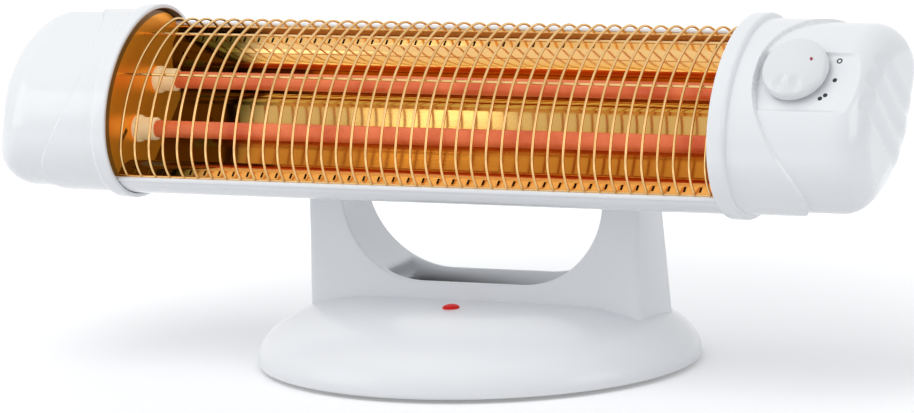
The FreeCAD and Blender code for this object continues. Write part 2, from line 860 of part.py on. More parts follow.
def base_cover():
    """Low domed cover with an opening for the column, a lamp hole and a cord boss at the back."""
    outside = cover_form(0, base_lip_z)
    cover = outside.cut(cover_form(base_wall, base_lip_z - overrun))
    for x, y in cover_bosses():
        post = rod(boss_radius, base_top_z, V(x, y, plate_top_z), Z_AXIS)
        cover = cover.fuse(post.common(outside))
    inlet = rod(inlet_boss_radius, inlet_boss_length, V(0, inlet_face_y, inlet_z), Y_AXIS * -1)
    cover = cover.fuse(inlet)
    inlet_start = V(0, base_half_width, inlet_z)
    cover = cover.cut(rod(bush_shank_radius + touch_gap, base_half_width, inlet_start, Y_AXIS * -1))
    spot_face = V(0, inlet_face_y, inlet_z)
    cover = cover.cut(rod(bush_flange_radius + fit_gap, overrun, spot_face, Y_AXIS))
    cover = cover.cut(column_block(fit_gap, plate_top_z))
    lamp_start = V(lamp_x, lamp_y, base_top_z - overrun)
    cover = cover.cut(rod(lens_shank_radius + touch_gap, 2 * overrun, lamp_start, Z_AXIS))
    for x, y in cover_bosses():
        cover = cover.cut(rod(screw_radius + touch_gap, cover_boss_height, V(x, y, plate_top_z), Z_AXIS))
    return cover


def foot_places():
    """Places of the rubber feet under the base plate."""
    return [(sx * foot_spread_x, sy * foot_spread_y) for sx in (1, -1) for sy in (1, -1)]


def base_plate():
    """Oval bottom plate with a guide ring for the tip-over plunger and screw holes."""
    reach = base_half_length - base_wall - fit_gap
    width = base_half_width - base_wall - fit_gap
    tall, deep = V(reach, 0, plate_bottom_z), V(0, width, plate_bottom_z)
    first, second = (tall, deep) if reach >= width else (deep, tall)
    oval = Part.Ellipse(first, second, V(0, 0, plate_bottom_z))
    plate = Part.Face(Part.Wire(oval.toShape())).extrude(V(0, 0, plate_thickness))
    plate = plate.cut(rod(tip_stem_radius + fit_gap, 2 * overrun, V(tip_x, tip_y, 0), Z_AXIS))
    for x, y in column_bosses() + cover_bosses():
        plate = plate.cut(rod(screw_radius + fit_gap, 2 * overrun, V(x, y, 0), Z_AXIS))
        seat = V(x, y, plate_bottom_z + plate_thickness / 2)
        plate = plate.cut(rod(screw_head_radius + fit_gap, overrun, seat, Z_AXIS * -1))
    return plate


def plate_screws(places, length):
    """Screws from under the base plate, with their heads sunk in it."""
    seat_z = plate_bottom_z + plate_thickness / 2
    return Part.makeCompound([pan_screw(length, V(x, y, seat_z), Z_AXIS) for x, y in places])


def rubber_feet():
    """Round feet with a slightly smaller flat underneath."""
    feet = []
    for x, y in foot_places():
        outline = [
            V(0, 0, 0),
            V(foot_radius - foot_crown, 0, 0),
            V(foot_radius, 0, foot_crown),
            V(foot_radius, 0, plate_bottom_z),
            V(0, 0, plate_bottom_z),
        ]
        feet.append(turned(outline, ORIGIN, Z_AXIS).translated(V(x, y, 0)))
    return Part.makeCompound(feet)


def indicator_lens():
    """Domed pilot lens with a hollow shank that goes down through the cover."""
    foot = -lens_shank_length
    runs = Part.makePolygon([
        V(0, 0, lens_height),
        ORIGIN,
        V(lamp_radius + touch_gap, 0, 0),
        V(lamp_radius + touch_gap, 0, foot),
        V(lens_shank_radius, 0, foot),
        V(lens_shank_radius, 0, 0),
        V(lens_radius, 0, 0),
    ])
    dome = dome_edges(lens_radius, lens_height, lens_edge_round, 0)
    outline = Part.Wire(Part.__sortEdges__(dome + runs.Edges))
    lens = Part.Face(outline).revolve(ORIGIN, Z_AXIS)
    return lens.translated(V(lamp_x, lamp_y, base_top_z + touch_gap))


def pilot_lamp():
    """Small glow lamp held in the lens: a round-ended glass body."""
    foot = V(lamp_x, lamp_y, base_top_z - lamp_length)
    tip = V(lamp_x, lamp_y, base_top_z - lamp_radius)
    glass = rod(lamp_radius, lamp_length - lamp_radius, foot, Z_AXIS)
    return glass.fuse(Part.makeSphere(lamp_radius, tip)).removeSplitter()


def tip_levels():
    """Heights of the plunger's collar and of the switch box above it."""
    collar_z = plate_top_z + tip_travel + fit_gap
    spring_z = collar_z + tip_collar_height
    return collar_z, spring_z, spring_z + tip_spring_space


def tip_plunger():
    """Stepped plunger under the base that the table pushes up while the heater stands."""
    collar_z, spring_z, _ = tip_levels()
    foot_z = plate_bottom_z - fit_gap
    outline = [
        V(0, 0, 0),
        V(tip_foot_radius - foot_crown, 0, 0),
        V(tip_foot_radius, 0, foot_crown),
        V(tip_foot_radius, 0, foot_z),
        V(tip_stem_radius, 0, foot_z),
        V(tip_stem_radius, 0, collar_z),
        V(tip_collar_radius, 0, collar_z),
        V(tip_collar_radius, 0, spring_z),
        V(tip_pin_radius, 0, spring_z),
        V(tip_pin_radius, 0, spring_z + tip_pin_length),
        V(0, 0, spring_z + tip_pin_length),
    ]
    return turned(outline, ORIGIN, Z_AXIS).translated(V(tip_x, tip_y, 0))


def tip_switch():
    """Switch box on two legs above the plunger, bored for the plunger's pin."""
    _, spring_z, box_z = tip_levels()
    length = V(tip_box_half_length, tip_box_half_width, 0)
    low = V(tip_x, tip_y, box_z) - length
    high = V(tip_x, tip_y, box_z + tip_box_height) + length
    body = block(low, high)
    for side in (1, -1):
        inner = tip_x + side * (tip_box_half_length - tip_leg_width)
        outer = tip_x + side * tip_box_half_length
        leg_low = V(min(inner, outer), tip_y - tip_box_half_width, plate_top_z)
        leg_high = V(max(inner, outer), tip_y + tip_box_half_width, box_z)
        body = body.fuse(block(leg_low, leg_high))
    bore_length = spring_z + tip_pin_length + fit_gap - box_z
    bore = rod(tip_pin_radius + fit_gap, bore_length, V(tip_x, tip_y, box_z), Z_AXIS)
    return body.removeSplitter().cut(bore)


def spring_path():
    """Quarter-turn biarcs along the helix of the plunger's spring, and sample points on it."""
    _, spring_z, box_z = tip_levels()
    foot_z = spring_z + spring_wire_radius + touch_gap
    climb = box_z - foot_z - spring_wire_radius - touch_gap
    quarters = 4 * spring_turns
    rise_rate = climb / (2 * math.pi * spring_turns)

    def place(turn):
        return V(
            tip_x + spring_mean_radius * math.cos(turn),
            tip_y + spring_mean_radius * math.sin(turn),
            foot_z + rise_rate * turn,
        )

    def heading(turn):
        way = V(-spring_mean_radius * math.sin(turn), spring_mean_radius * math.cos(turn), rise_rate)
        return way.normalize()

    def arc(start, way, end):
        chord = end - start
        side = chord - way * chord.dot(way)
        half_bend = math.atan2(side.Length, chord.dot(way)) / 2
        lift = chord.Length / 2 * math.tan(half_bend)
        outward = (way - chord * (way.dot(chord) / chord.dot(chord))).normalize()
        return Part.Arc(start, start + chord / 2 + outward * lift, end).toShape()

    edges = []
    for i in range(quarters):
        a, b = (2 * math.pi * spring_turns * t / quarters for t in (i, i + 1))
        start, end, way_in, way_out = place(a), place(b), heading(a), heading(b)
        gap = end - start
        ways = way_in + way_out
        spread = 2 * (1 - way_in.dot(way_out))
        reach = (-gap.dot(ways) + math.sqrt(gap.dot(ways) ** 2 + spread * gap.dot(gap))) / spread
        joint = (start + end + (way_in - way_out) * reach) / 2
        edges.append(arc(start, way_in, joint))
        edges.append(arc(end, way_out * -1, joint))
    samples = [place(2 * math.pi * i / quarters) for i in range(spring_turns * quarters + 1)]
    return Part.Wire(Part.__sortEdges__(edges)), samples, quarters


def tip_spring():
    """Compression spring round the plunger's pin, one unbroken wire."""
    path, samples, per_turn = spring_path()
    first = path.Edges[0]
    way = first.tangentAt(first.FirstParameter)
    pipe = Part.BRepOffsetAPI.MakePipeShell(path)
    pipe.add(wire_ring(samples[0], X_AXIS, way.cross(X_AXIS), spring_wire_radius))
    pipe.build()
    pipe.makeSolid()
    half = per_turn // 2
    least = min(
        (samples[i] - samples[j]).Length for i in range(len(samples)) for j in range(i + half, len(samples))
    )
    print("spring gap to itself", round(least - 2 * spring_wire_radius, 2))
    return pipe.shape()


def cord_bush():
    """Bush that lines the cord hole in the back of the base."""
    face = inlet_face_y + touch_gap
    outline = [
        V(bush_bore_radius, face + bush_flange_height, 0),
        V(bush_flange_radius - bush_flange_height / 2, face + bush_flange_height, 0),
        V(bush_flange_radius, face + bush_flange_height / 2, 0),
        V(bush_flange_radius, face, 0),
        V(bush_shank_radius, face, 0),
        V(bush_shank_radius, face - bush_length, 0),
        V(bush_bore_radius, face - bush_length, 0),
    ]
    return turned(outline, ORIGIN, Y_AXIS).translated(V(0, 0, inlet_z))


def terminal_block():
    """Block with a row of screw terminals on the base plate."""
    low = V(-block_half_length, block_y - block_half_width, plate_top_z)
    high = V(block_half_length, block_y + block_half_width, plate_top_z + block_foot_height)
    body = block(low, high)
    pitch = 2 * block_half_length / block_pole_count
    for i in range(block_pole_count):
        x = -block_half_length + pitch * (i + 1 / 2)
        pole = rod(block_pole_radius, block_pole_height, V(x, block_y, plate_top_z), Z_AXIS)
        well = rod(screw_radius, block_pole_height, V(x, block_y, plate_top_z + block_foot_height), Z_AXIS)
        body = body.fuse(pole).cut(well)
    return body.removeSplitter()


def build():
    """Make every piece in its place and write one file for each."""
    right_cap = end_cap(True)
    left_cap = mirrored(end_cap(False))
    plate = end_plate()
    pieces = {
        "rear_shell": seat_on_head(rear_shell()),
        "reflector": seat_on_head(reflector()),
        "end_plate_right": seat_on_head(plate),
        "end_plate_left": seat_on_head(mirrored(plate)),
        "end_cap_right": seat_on_head(right_cap),
        "end_cap_left": seat_on_head(left_cap),
        "cap_screws": seat_on_head(cap_screws()),
        "guard_hoops": seat_on_head(guard_hoops()),
        "guard_rails": seat_on_head(guard_rails()),
        "anchor_plates": seat_on_head(anchor_plates()),
        "knob": control_at(knob()),
        "switch_shaft": control_at(switch_shaft()),
        "rotary_switch": control_at(rotary_switch()),
        "switch_nut": control_at(switch_nut()),
        "stand_column": stand_column(),
        "saddle_screws": seat_on_head(saddle_screws()),
        "base_cover": base_cover(),
        "base_plate": base_plate(),
        "column_screws": plate_screws(column_bosses(), boss_height / 2),
        "cover_screws": plate_screws(cover_bosses(), cover_boss_height),
        "rubber_feet": rubber_feet(),
        "indicator_lens": indicator_lens(),
        "pilot_lamp": pilot_lamp(),
        "tip_plunger": tip_plunger(),
        "tip_switch": tip_switch(),
        "tip_spring": tip_spring(),
        "cord_bush": cord_bush(),
        "terminal_block": terminal_block(),
    }
    for name, rise in (("upper", tube_half_pitch), ("lower", -tube_half_pitch)):
        pieces["quartz_tube_" + name] = seat_on_head(quartz_tube(rise))
        pieces["heating_winding_" + name] = seat_on_head(winding(rise))
        for end, hand in (("right", lambda shape: shape), ("left", mirrored)):
            pieces["ceramic_" + name + "_" + end] = seat_on_head(hand(ceramic_holder(rise)))
            pieces["terminal_" + name + "_" + end] = seat_on_head(hand(terminal_stud(rise)))
    os.makedirs("parts", exist_ok=True)
    for name, shape in pieces.items():
        shape.exportStep("parts/" + name + ".step")
        print(name, len(shape.Solids), "solids", round(shape.Volume, 1), shape.isValid())


build()
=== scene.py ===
import json
import logging
import math
from dataclasses import dataclass
from enum import Enum
from typing import Callable, Optional, Sequence

import bmesh
import bpy
import numpy as np
from mathutils import Matrix


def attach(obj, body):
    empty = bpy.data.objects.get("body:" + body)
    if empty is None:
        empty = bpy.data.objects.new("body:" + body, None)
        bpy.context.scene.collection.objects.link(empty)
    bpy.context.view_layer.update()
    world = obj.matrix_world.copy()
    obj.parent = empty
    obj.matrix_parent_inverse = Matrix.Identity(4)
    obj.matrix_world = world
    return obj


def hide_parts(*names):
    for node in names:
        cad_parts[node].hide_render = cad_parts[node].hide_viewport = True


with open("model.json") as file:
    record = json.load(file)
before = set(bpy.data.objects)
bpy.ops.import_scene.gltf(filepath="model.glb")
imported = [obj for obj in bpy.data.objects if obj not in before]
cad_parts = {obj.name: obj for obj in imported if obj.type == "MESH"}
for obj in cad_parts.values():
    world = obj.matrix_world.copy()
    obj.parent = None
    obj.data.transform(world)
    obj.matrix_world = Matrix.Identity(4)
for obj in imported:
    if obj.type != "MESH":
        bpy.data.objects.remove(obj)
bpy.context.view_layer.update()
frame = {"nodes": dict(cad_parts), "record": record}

# Dresses a table-top quartz heater. Lengths are metres in the shared frame: X runs along the head,
# the front faces -Y and Z is up. Head pieces are drawn facing straight forward and then tilted.

LOG = logging.getLogger("heater")
HEATER = "heater"
KNOB = "control_knob"
MM = 0.001
SEAT_GAP = 0.05 * MM
SHARP_DEGREES = 40.0
WIRE_SHARP_DEGREES = 50.0
MERGE_DISTANCE, SLIVER_DISTANCE = 1e-7, 1e-8
MOTTLE_LOW, MOTTLE_HIGH = 0.3, 0.7
Array = np.ndarray
Colour = tuple[float, float, float]


class Side(Enum):
    """End of the head that a piece belongs to."""

    RIGHT = 1
    LEFT = -1


def smooth_step(value: Array) -> Array:
    """Cubic ease from 0 to 1, flat outside that range."""
    t = np.clip(value, 0.0, 1.0)
    return t * t * (3.0 - 2.0 * t)


def ease(value: Array, span: tuple[float, float]) -> Array:
    """Smooth step of a value over a span, given by its start and its width."""
    return smooth_step((value - span[0]) / span[1])


def turn_about_x(points: Array, degrees: float) -> Array:
    """Turn points about the X axis by the right-hand rule.

    Args:
        points: array whose last axis is x, y, z.
        degrees: angle of the turn.

    Returns:
        The turned points.
    """
    c, s = math.cos(math.radians(degrees)), math.sin(math.radians(degrees))
    x, y, z = np.moveaxis(points, -1, 0)
    return np.stack([x, c * y - s * z, s * y + c * z], axis=-1)


# Meshes


def add_object(
    name: str,
    vertices: Array,
    faces: Sequence,
    sharp_degrees: float = SHARP_DEGREES,
    thickness: float = 0.0,
) -> bpy.types.Object:
    """Make a mesh object from vertices and faces, with poles merged and faces turned outwards.

    Args:
        name: name of the piece.
        vertices: rows of x, y, z.
        faces: rows of vertex numbers.
        sharp_degrees: edges bent more than this stay sharp.
        thickness: wall given to an open sheet, behind its faces.

    Returns:
        The new object, linked to the scene.
    """
    mesh = bpy.data.meshes.new(name)
    mesh.from_pydata(vertices.tolist(), [], faces)
    work = bmesh.new()
    work.from_mesh(mesh)
    bmesh.ops.remove_doubles(work, verts=work.verts, dist=MERGE_DISTANCE)
    bmesh.ops.dissolve_degenerate(work, edges=work.edges, dist=SLIVER_DISTANCE)
    if thickness > 0.0:
        bmesh.ops.solidify(work, geom=work.faces[:], thickness=thickness)
    bmesh.ops.recalc_face_normals(work, faces=work.faces)
    work.to_mesh(mesh)
    work.free()
    mesh.polygons.foreach_set("use_smooth", np.ones(len(mesh.polygons), dtype=bool))
    mesh.set_sharp_from_angle(angle=math.radians(sharp_degrees))
    piece = bpy.data.objects.new(name, mesh)
    bpy.context.scene.collection.objects.link(piece)
    return piece


def grid_faces(rows: int, columns: int, start: int = 0, wrap_rows: bool = False) -> Array:
    """Vertex numbers of the quads of a grid whose columns close round.

    Args:
        rows: number of rows.
        columns: number of points in each row.
        start: number of the grid's first vertex.
        wrap_rows: whether the last row joins the first.

    Returns:
        One row of four vertex numbers for each quad.
    """
    i = np.arange(rows if wrap_rows else rows - 1)[:, None]
    j = np.arange(columns)[None, :]
    k = (j + 1) % columns
    n = (i + 1) % rows
    quads = np.stack([i * columns + j, i * columns + k, n * columns + k, n * columns + j], axis=-1)
    return quads.reshape(-1, 4) + start


def ring_surface(
    name: str, points: Array, sharp_degrees: float = SHARP_DEGREES, wrap: bool = False
) -> bpy.types.Object:
    """Surface through rows of rings, with flat ends where the rows don't run to a pole.

    Args:
        name: name of the piece.
        points: array of rows, columns and x, y, z.
        sharp_degrees: edges bent more than this stay sharp.
        wrap: whether the last row joins the first.

    Returns:
        The new object.
    """
    rows, columns, _ = points.shape
    faces = grid_faces(rows, columns, 0, wrap).tolist()
    if not wrap:
        faces.append(list(range(columns)))
        faces.append(list(range((rows - 1) * columns, rows * columns)))
    return add_object(name, points.reshape(-1, 3), faces, sharp_degrees)


def tube_group(name: str, paths: Sequence[Array], radius: float, sides: int) -> bpy.types.Object:
    """Round wires along plane paths, each ring between X, or Y for a wire along X, and the path's normal.

    Args:
        name: name of the piece.
        paths: arrays of points, one for each wire.
        radius: wire radius.
        sides: points round each wire.

    Returns:
        The new object with all wires.
    """
    turn = np.linspace(0.0, 2.0 * math.pi, sides, endpoint=False)
    vertices, faces, start = [], [], 0
    for path in paths:
        way = np.gradient(path, axis=0)
        way /= np.linalg.norm(way, axis=1, keepdims=True)
        lengthwise = abs(way[0, 0]) > abs(way[0, 1:]).max()
        across = np.array([0.0, 1.0, 0.0]) if lengthwise else np.array([1.0, 0.0, 0.0])
        upward = np.cross(way, across)
        upward /= np.linalg.norm(upward, axis=1, keepdims=True)
        over = np.cross(upward, way)
        ring = np.cos(turn)[None, :, None] * over[:, None, :]
        ring = ring + np.sin(turn)[None, :, None] * upward[:, None, :]
        wire = path[:, None, :] + radius * ring
        count = len(path)
        vertices.append(wire.reshape(-1, 3))
        faces.extend(grid_faces(count, sides, start).tolist())
        faces.append(list(range(start, start + sides)))
        faces.append(list(range(start + (count - 1) * sides, start + count * sides)))
        start += count * sides
    return add_object(name, np.concatenate(vertices), faces, WIRE_SHARP_DEGREES)


def revolve(profile: Array, columns: int) -> Array:
    """Rings of a turned piece: radius and height of each profile point, carried round the height axis.

    Args:
        profile: rows of radius and height.
        columns: points in each ring.

    Returns:
        Array of rows, columns and u, v, height.
    """
    turn = np.linspace(0.0, 2.0 * math.pi, columns, endpoint=False)
    u = profile[:, :1] * np.cos(turn)
    v = profile[:, :1] * np.sin(turn)
    return np.stack([u, v, np.repeat(profile[:, 1:], columns, axis=1)], axis=-1)


def ease_corner(before: Array, corner: Array, after: Array, reach: float, count: int = 16) -> Array:
    """Parabola that touches both lines of a corner.

    Args:
        before, corner, after: three points of the line.
        reach: distance from the corner at which the parabola starts and stops.
        count: number of points.

    Returns:
        Points of the parabola.
    """
    start = corner + (before - corner) * reach / np.hypot(*(before - corner))
    stop = corner + (after - corner) * reach / np.hypot(*(after - corner))
    share = np.linspace(0.0, 1.0, count)[:, None]
    return (1 - share) ** 2 * start + 2 * share * (1 - share) * corner + share ** 2 * stop


def arc(centre: tuple[float, float], radius: float, start: float, end: float, count: int) -> Array:
    """Points of a round arc: centre plus radius at evenly spaced angles in degrees."""
    turn = np.radians(np.linspace(start, end, count))
    return np.stack([centre[0] + radius * np.cos(turn), centre[1] + radius * np.sin(turn)], axis=-1)


def mount(piece: bpy.types.Object, node: str, body: str = HEATER) -> bpy.types.Object:
    """Let a dressed piece ride on its body in place of a construction node.

    Args:
        piece: the piece.
        node: node that it replaces.
        body: body that carries it.

    Returns:
        The piece.
    """
    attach(piece, body)
    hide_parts(node)
    return piece


# Finishes


def new_group(name: str, inputs: Sequence[str], outputs: Sequence[str]) -> bpy.types.NodeTree:
    """Empty shader group with float inputs and outputs.

    Args:
        name: name of the group.
        inputs: input names.
        outputs: output names.

    Returns:
        The group's node tree, with its input and output nodes.
    """
    group = bpy.data.node_groups.new(name, "ShaderNodeTree")
    for way, labels in (("INPUT", inputs), ("OUTPUT", outputs)):
        for label in labels:
            group.interface.new_socket(label, in_out=way, socket_type="NodeSocketFloat")
    group.nodes.new("NodeGroupInput")
    group.nodes.new("NodeGroupOutput")
    return group


@dataclass(frozen=True)
class SurfaceGroups:
    """Shared surface effects, each one shader group."""

    grain_detail: float = 2.0
    mottle_detail: float = 4.0
    metal_detail: float = 3.0
    line_stretch: tuple[float, float, float] = (0.35, 26.0, 26.0)
    # middle of the painted shadow along the end plates' front edge, behind and above the head's axis
    edge_middle: tuple[float, float] = (7.7 * MM, 5.4 * MM)
    endless: float = 1e6

    def moulded(self) -> bpy.types.NodeTree:
        """Fine moulding grain and broad mottling, from two noises of Object coordinates.

        Returns:
            The group.
        """
        known = bpy.data.node_groups.get("moulded_skin")
        if known:
            return known
        group = new_group("moulded_skin", ["Grain", "Mottling"], ["Height", "Mottle"])
        place = group.nodes.new("ShaderNodeTexCoord").outputs["Object"]
        self.add_noise(group, place, "Grain", "Height", self.grain_detail)
        self.add_noise(group, place, "Mottling", "Mottle", self.mottle_detail)
        return group

    def drawn(self) -> bpy.types.NodeTree:
        """Rolling lines of drawn metal: noise stretched along X, with a broad stain beside it.

        Returns:
            The group.
        """
        known = bpy.data.node_groups.get("drawn_metal")
        if known:
            return known
        outputs = ["Height", "Mottle", "Rise", "Edge", "Along"]
        group = new_group("drawn_metal", ["Lines", "Staining"], outputs)
        place = group.nodes.new("ShaderNodeTexCoord").outputs["Object"]
        stretch = group.nodes.new("ShaderNodeMapping")
        stretch.inputs["Scale"].default_value = self.line_stretch
        group.links.new(place, stretch.inputs["Vector"])
        self.add_noise(group, stretch.outputs["Vector"], "Lines", "Height", self.metal_detail)
        self.add_noise(group, place, "Staining", "Mottle", self.metal_detail)
        self.add_rise(group, place, group.nodes["Group Output"])
        return group

    def add_noise(
        self, group: bpy.types.NodeTree, source: bpy.types.NodeSocket, size: str, target: str, detail: float
    ) -> None:
        """Feed an output of a group from noise, whose scale is one of its inputs.

        Args:
            group: group that gets the noise.
            source: coordinates that the noise reads.
            size: name of the input that scales it.
            target: name of the output.
            detail: how fine the noise gets.
        """
        noise = group.nodes.new("ShaderNodeTexNoise")
        noise.inputs["Detail"].default_value = detail
        group.links.new(source, noise.inputs["Vector"])
        group.links.new(group.nodes["Group Input"].outputs[size], noise.inputs["Scale"])
        group.links.new(noise.outputs["Fac"], group.nodes["Group Output"].inputs[target])

    def add_rise(
        self, group: bpy.types.NodeTree, place: bpy.types.NodeSocket, put: bpy.types.Node
    ) -> None:
        """Feed Rise, Edge and Along from the place on the tilted head.

        Rise is 0 at the head's lower edge and 1 at the upper one; it places the reflector's painted
        reflection colours.
        Edge is the distance from a line behind and above the head's axis in shares of the head's oval, so it
        passes 1 along the front of an end plate, where it places a painted shadow. Along is the place along
        X, which places the painted shade at the reflector's left end.

        Args:
            group: group that gets the nodes.
            place: Object coordinates.
            put: the group's output node.
        """
        head = Head()
        turned = group.nodes.new("ShaderNodeVectorRotate")
        turned.rotation_type = "X_AXIS"
        turned.inputs["Center"].default_value = (0.0, head.axis_y, head.axis_z)
        turned.inputs["Angle"].default_value = math.radians(head.tilt)
        split = group.nodes.new("ShaderNodeSeparateXYZ")
        scale = group.nodes.new("ShaderNodeMapRange")
        scale.inputs["From Min"].default_value = head.axis_z - head.half_height
        scale.inputs["From Max"].default_value = head.axis_z + head.half_height
        group.links.new(place, turned.inputs["Vector"])
        group.links.new(turned.outputs["Vector"], split.inputs["Vector"])
        group.links.new(split.outputs["Z"], scale.inputs["Value"])
        group.links.new(scale.outputs["Result"], put.inputs["Rise"])
        shares = group.nodes.new("ShaderNodeMapping")
        shares.vector_type = "TEXTURE"
        back, up = self.edge_middle
        shares.inputs["Location"].default_value = (0.0, head.axis_y + back, head.axis_z + up)
        shares.inputs["Scale"].default_value = (self.endless, head.half_depth, head.half_height)
        length = group.nodes.new("ShaderNodeVectorMath")
        length.operation = "LENGTH"
        group.links.new(turned.outputs["Vector"], shares.inputs["Vector"])
        group.links.new(shares.outputs["Vector"], length.inputs[0])
        group.links.new(length.outputs["Value"], put.inputs["Edge"])
        group.links.new(split.outputs["X"], put.inputs["Along"])


GROUPS = SurfaceGroups()


@dataclass(frozen=True)
class Finish:
    """A surface: two close colours that a mottle mixes, a roughness range and a fine relief."""

    name: str
    colour: Colour
    second: Colour
    roughness: tuple[float, float]
    relief: float = 2e-5
    metallic: float = 0.0
    coat: float = 0.0
    coat_roughness: float = 0.06
    grain: float = 900.0
    mottling: float = 14.0
    drawn: bool = False
    # glow: own light of the tubes, winding and pilot lens; on the end plates and ceramics it is painted light
    glow: float = 0.0
    glow_second: Optional[Colour] = None
    transmission: float = 0.0
    specular: float = 0.5
    # painted reflection: colours by the height across the head
    painted_reflection_bands: tuple[tuple[float, Colour], ...] = ()
    # painted shade: each entry darkens the colour over a range of an output or attribute
    painted_shades: tuple[tuple[str, float, float, Colour], ...] = ()

    def material(self) -> bpy.types.Material:
        """Build the material once and return it.

        Returns:
            The material with this finish.
        """
        known = bpy.data.materials.get(self.name)
        if known:
            return known
        made = bpy.data.materials.new(self.name)
        made.use_nodes = True
        tree = made.node_tree
        shader = tree.nodes["Principled BSDF"]
        effect = tree.nodes.new("ShaderNodeGroup")
        effect.node_tree = GROUPS.drawn() if self.drawn else GROUPS.moulded()
        effect.inputs[0].default_value = self.grain
        effect.inputs[1].default_value = self.mottling
        if self.painted_reflection_bands:
            self.paint_reflection_bands(tree, effect, shader.inputs["Base Color"])
        else:
            self.mix_colours(tree, effect, shader.inputs["Base Color"], self.colour, self.second)
        for shade in self.painted_shades:
            self.add_painted_shade(tree, effect, shader.inputs["Base Color"], shade)
        spread = tree.nodes.new("ShaderNodeMapRange")
        spread.inputs["From Min"].default_value = MOTTLE_LOW
        spread.inputs["From Max"].default_value = MOTTLE_HIGH
        spread.inputs["To Min"].default_value = self.roughness[0]
        spread.inputs["To Max"].default_value = self.roughness[1]
        tree.links.new(effect.outputs["Mottle"], spread.inputs["Value"])
        tree.links.new(spread.outputs["Result"], shader.inputs["Roughness"])
        if self.relief > 0.0:
            bump = tree.nodes.new("ShaderNodeBump")
            bump.inputs["Distance"].default_value = self.relief
            tree.links.new(effect.outputs["Height"], bump.inputs["Height"])
            tree.links.new(bump.outputs["Normal"], shader.inputs["Normal"])
        shader.inputs["Metallic"].default_value = self.metallic
        shader.inputs["Coat Weight"].default_value = self.coat
        shader.inputs["Coat Roughness"].default_value = self.coat_roughness
        shader.inputs["Specular IOR Level"].default_value = self.specular
        shader.inputs["Transmission Weight"].default_value = self.transmission
        if self.glow > 0.0:
            warm = self.glow_second or self.second
            self.mix_colours(tree, effect, shader.inputs["Emission Color"], self.colour, warm)
            shader.inputs["Emission Strength"].default_value = self.glow
        return made

    def mix_colours(
        self,
        tree: bpy.types.NodeTree,
        effect: bpy.types.Node,
        target: bpy.types.NodeSocket,
        first: Colour,
        second: Colour,
    ) -> None:
        """Mix two colours by the effect's mottle into a socket.

        Args:
            tree: the material's nodes.
            effect: group node with a Mottle output.
            target: colour socket to feed.
            first: colour where the mottle is low.
            second: colour where the mottle is high.
        """
        ramp = tree.nodes.new("ShaderNodeValToRGB")
        ramp.color_ramp.elements[0].position = MOTTLE_LOW
        ramp.color_ramp.elements[1].position = MOTTLE_HIGH
        ramp.color_ramp.elements[0].color = (*first, 1.0)
        ramp.color_ramp.elements[1].color = (*second, 1.0)
        tree.links.new(effect.outputs["Mottle"], ramp.inputs["Fac"])
        tree.links.new(ramp.outputs["Color"], target)

    def paint_reflection_bands(
        self, tree: bpy.types.NodeTree, effect: bpy.types.Node, target: bpy.types.NodeSocket
    ) -> None:
        """Paint reflections and shade into a socket by the height across the head, through the finish's
        colour stops.

        Args:
            tree: the material's nodes.
            effect: group node with a Rise output.
            target: colour socket to feed.
        """
        ramp = tree.nodes.new("ShaderNodeValToRGB").color_ramp
        for place, colour in self.painted_reflection_bands[1:-1]:
            ramp.elements.new(place).color = (*colour, 1.0)
        ramp.elements[0].color = (*self.painted_reflection_bands[0][1], 1.0)
        ramp.elements[len(self.painted_reflection_bands) - 1].color = (*self.painted_reflection_bands[-1][1], 1.0)
        node = tree.nodes["Color Ramp"]
        tree.links.new(effect.outputs["Rise"], node.inputs["Fac"])
        tree.links.new(node.outputs["Color"], target)

    def add_painted_shade(
        self,
        tree: bpy.types.NodeTree,
        effect: bpy.types.Node,
        target: bpy.types.NodeSocket,
        shade: tuple[str, float, float, Colour],
    ) -> None:
        """Paint shade: ease a linked colour into another one over a range of an output or an attribute.

        Args:
            tree: the material's nodes.
            effect: group node with the named output.
            target: colour socket that is already fed.
            shade: name of the output, or of an attribute of the mesh where the effect has no such
                output, its value where the shade starts and where it is full, and the colour.
        """
        output, start, full, colour = shade
        inner = target.links[0].from_socket
        share = tree.nodes.new("ShaderNodeMapRange")
        share.interpolation_type = "SMOOTHSTEP"
        share.inputs["From Min"].default_value = start
        share.inputs["From Max"].default_value = full
        mix = tree.nodes.new("ShaderNodeMix")
        mix.data_type = "RGBA"
        first, second = [socket for socket in mix.inputs if socket.type == "RGBA"]
        second.default_value = (*colour, 1.0)
        source = effect.outputs.get(output)
        if source is None:
            attribute = tree.nodes.new("ShaderNodeAttribute")
            attribute.attribute_name = output
            source = attribute.outputs["Fac"]
        tree.links.new(source, share.inputs["Value"])
        tree.links.new(share.outputs["Result"], mix.inputs["Factor"])
        tree.links.new(inner, first)
        tree.links.new([socket for socket in mix.outputs if socket.type == "RGBA"][0], target)

    def dress(self, piece: bpy.types.Object) -> None:
        """Give a piece this finish alone."""
        piece.data.materials.clear()
        piece.data.materials.append(self.material())


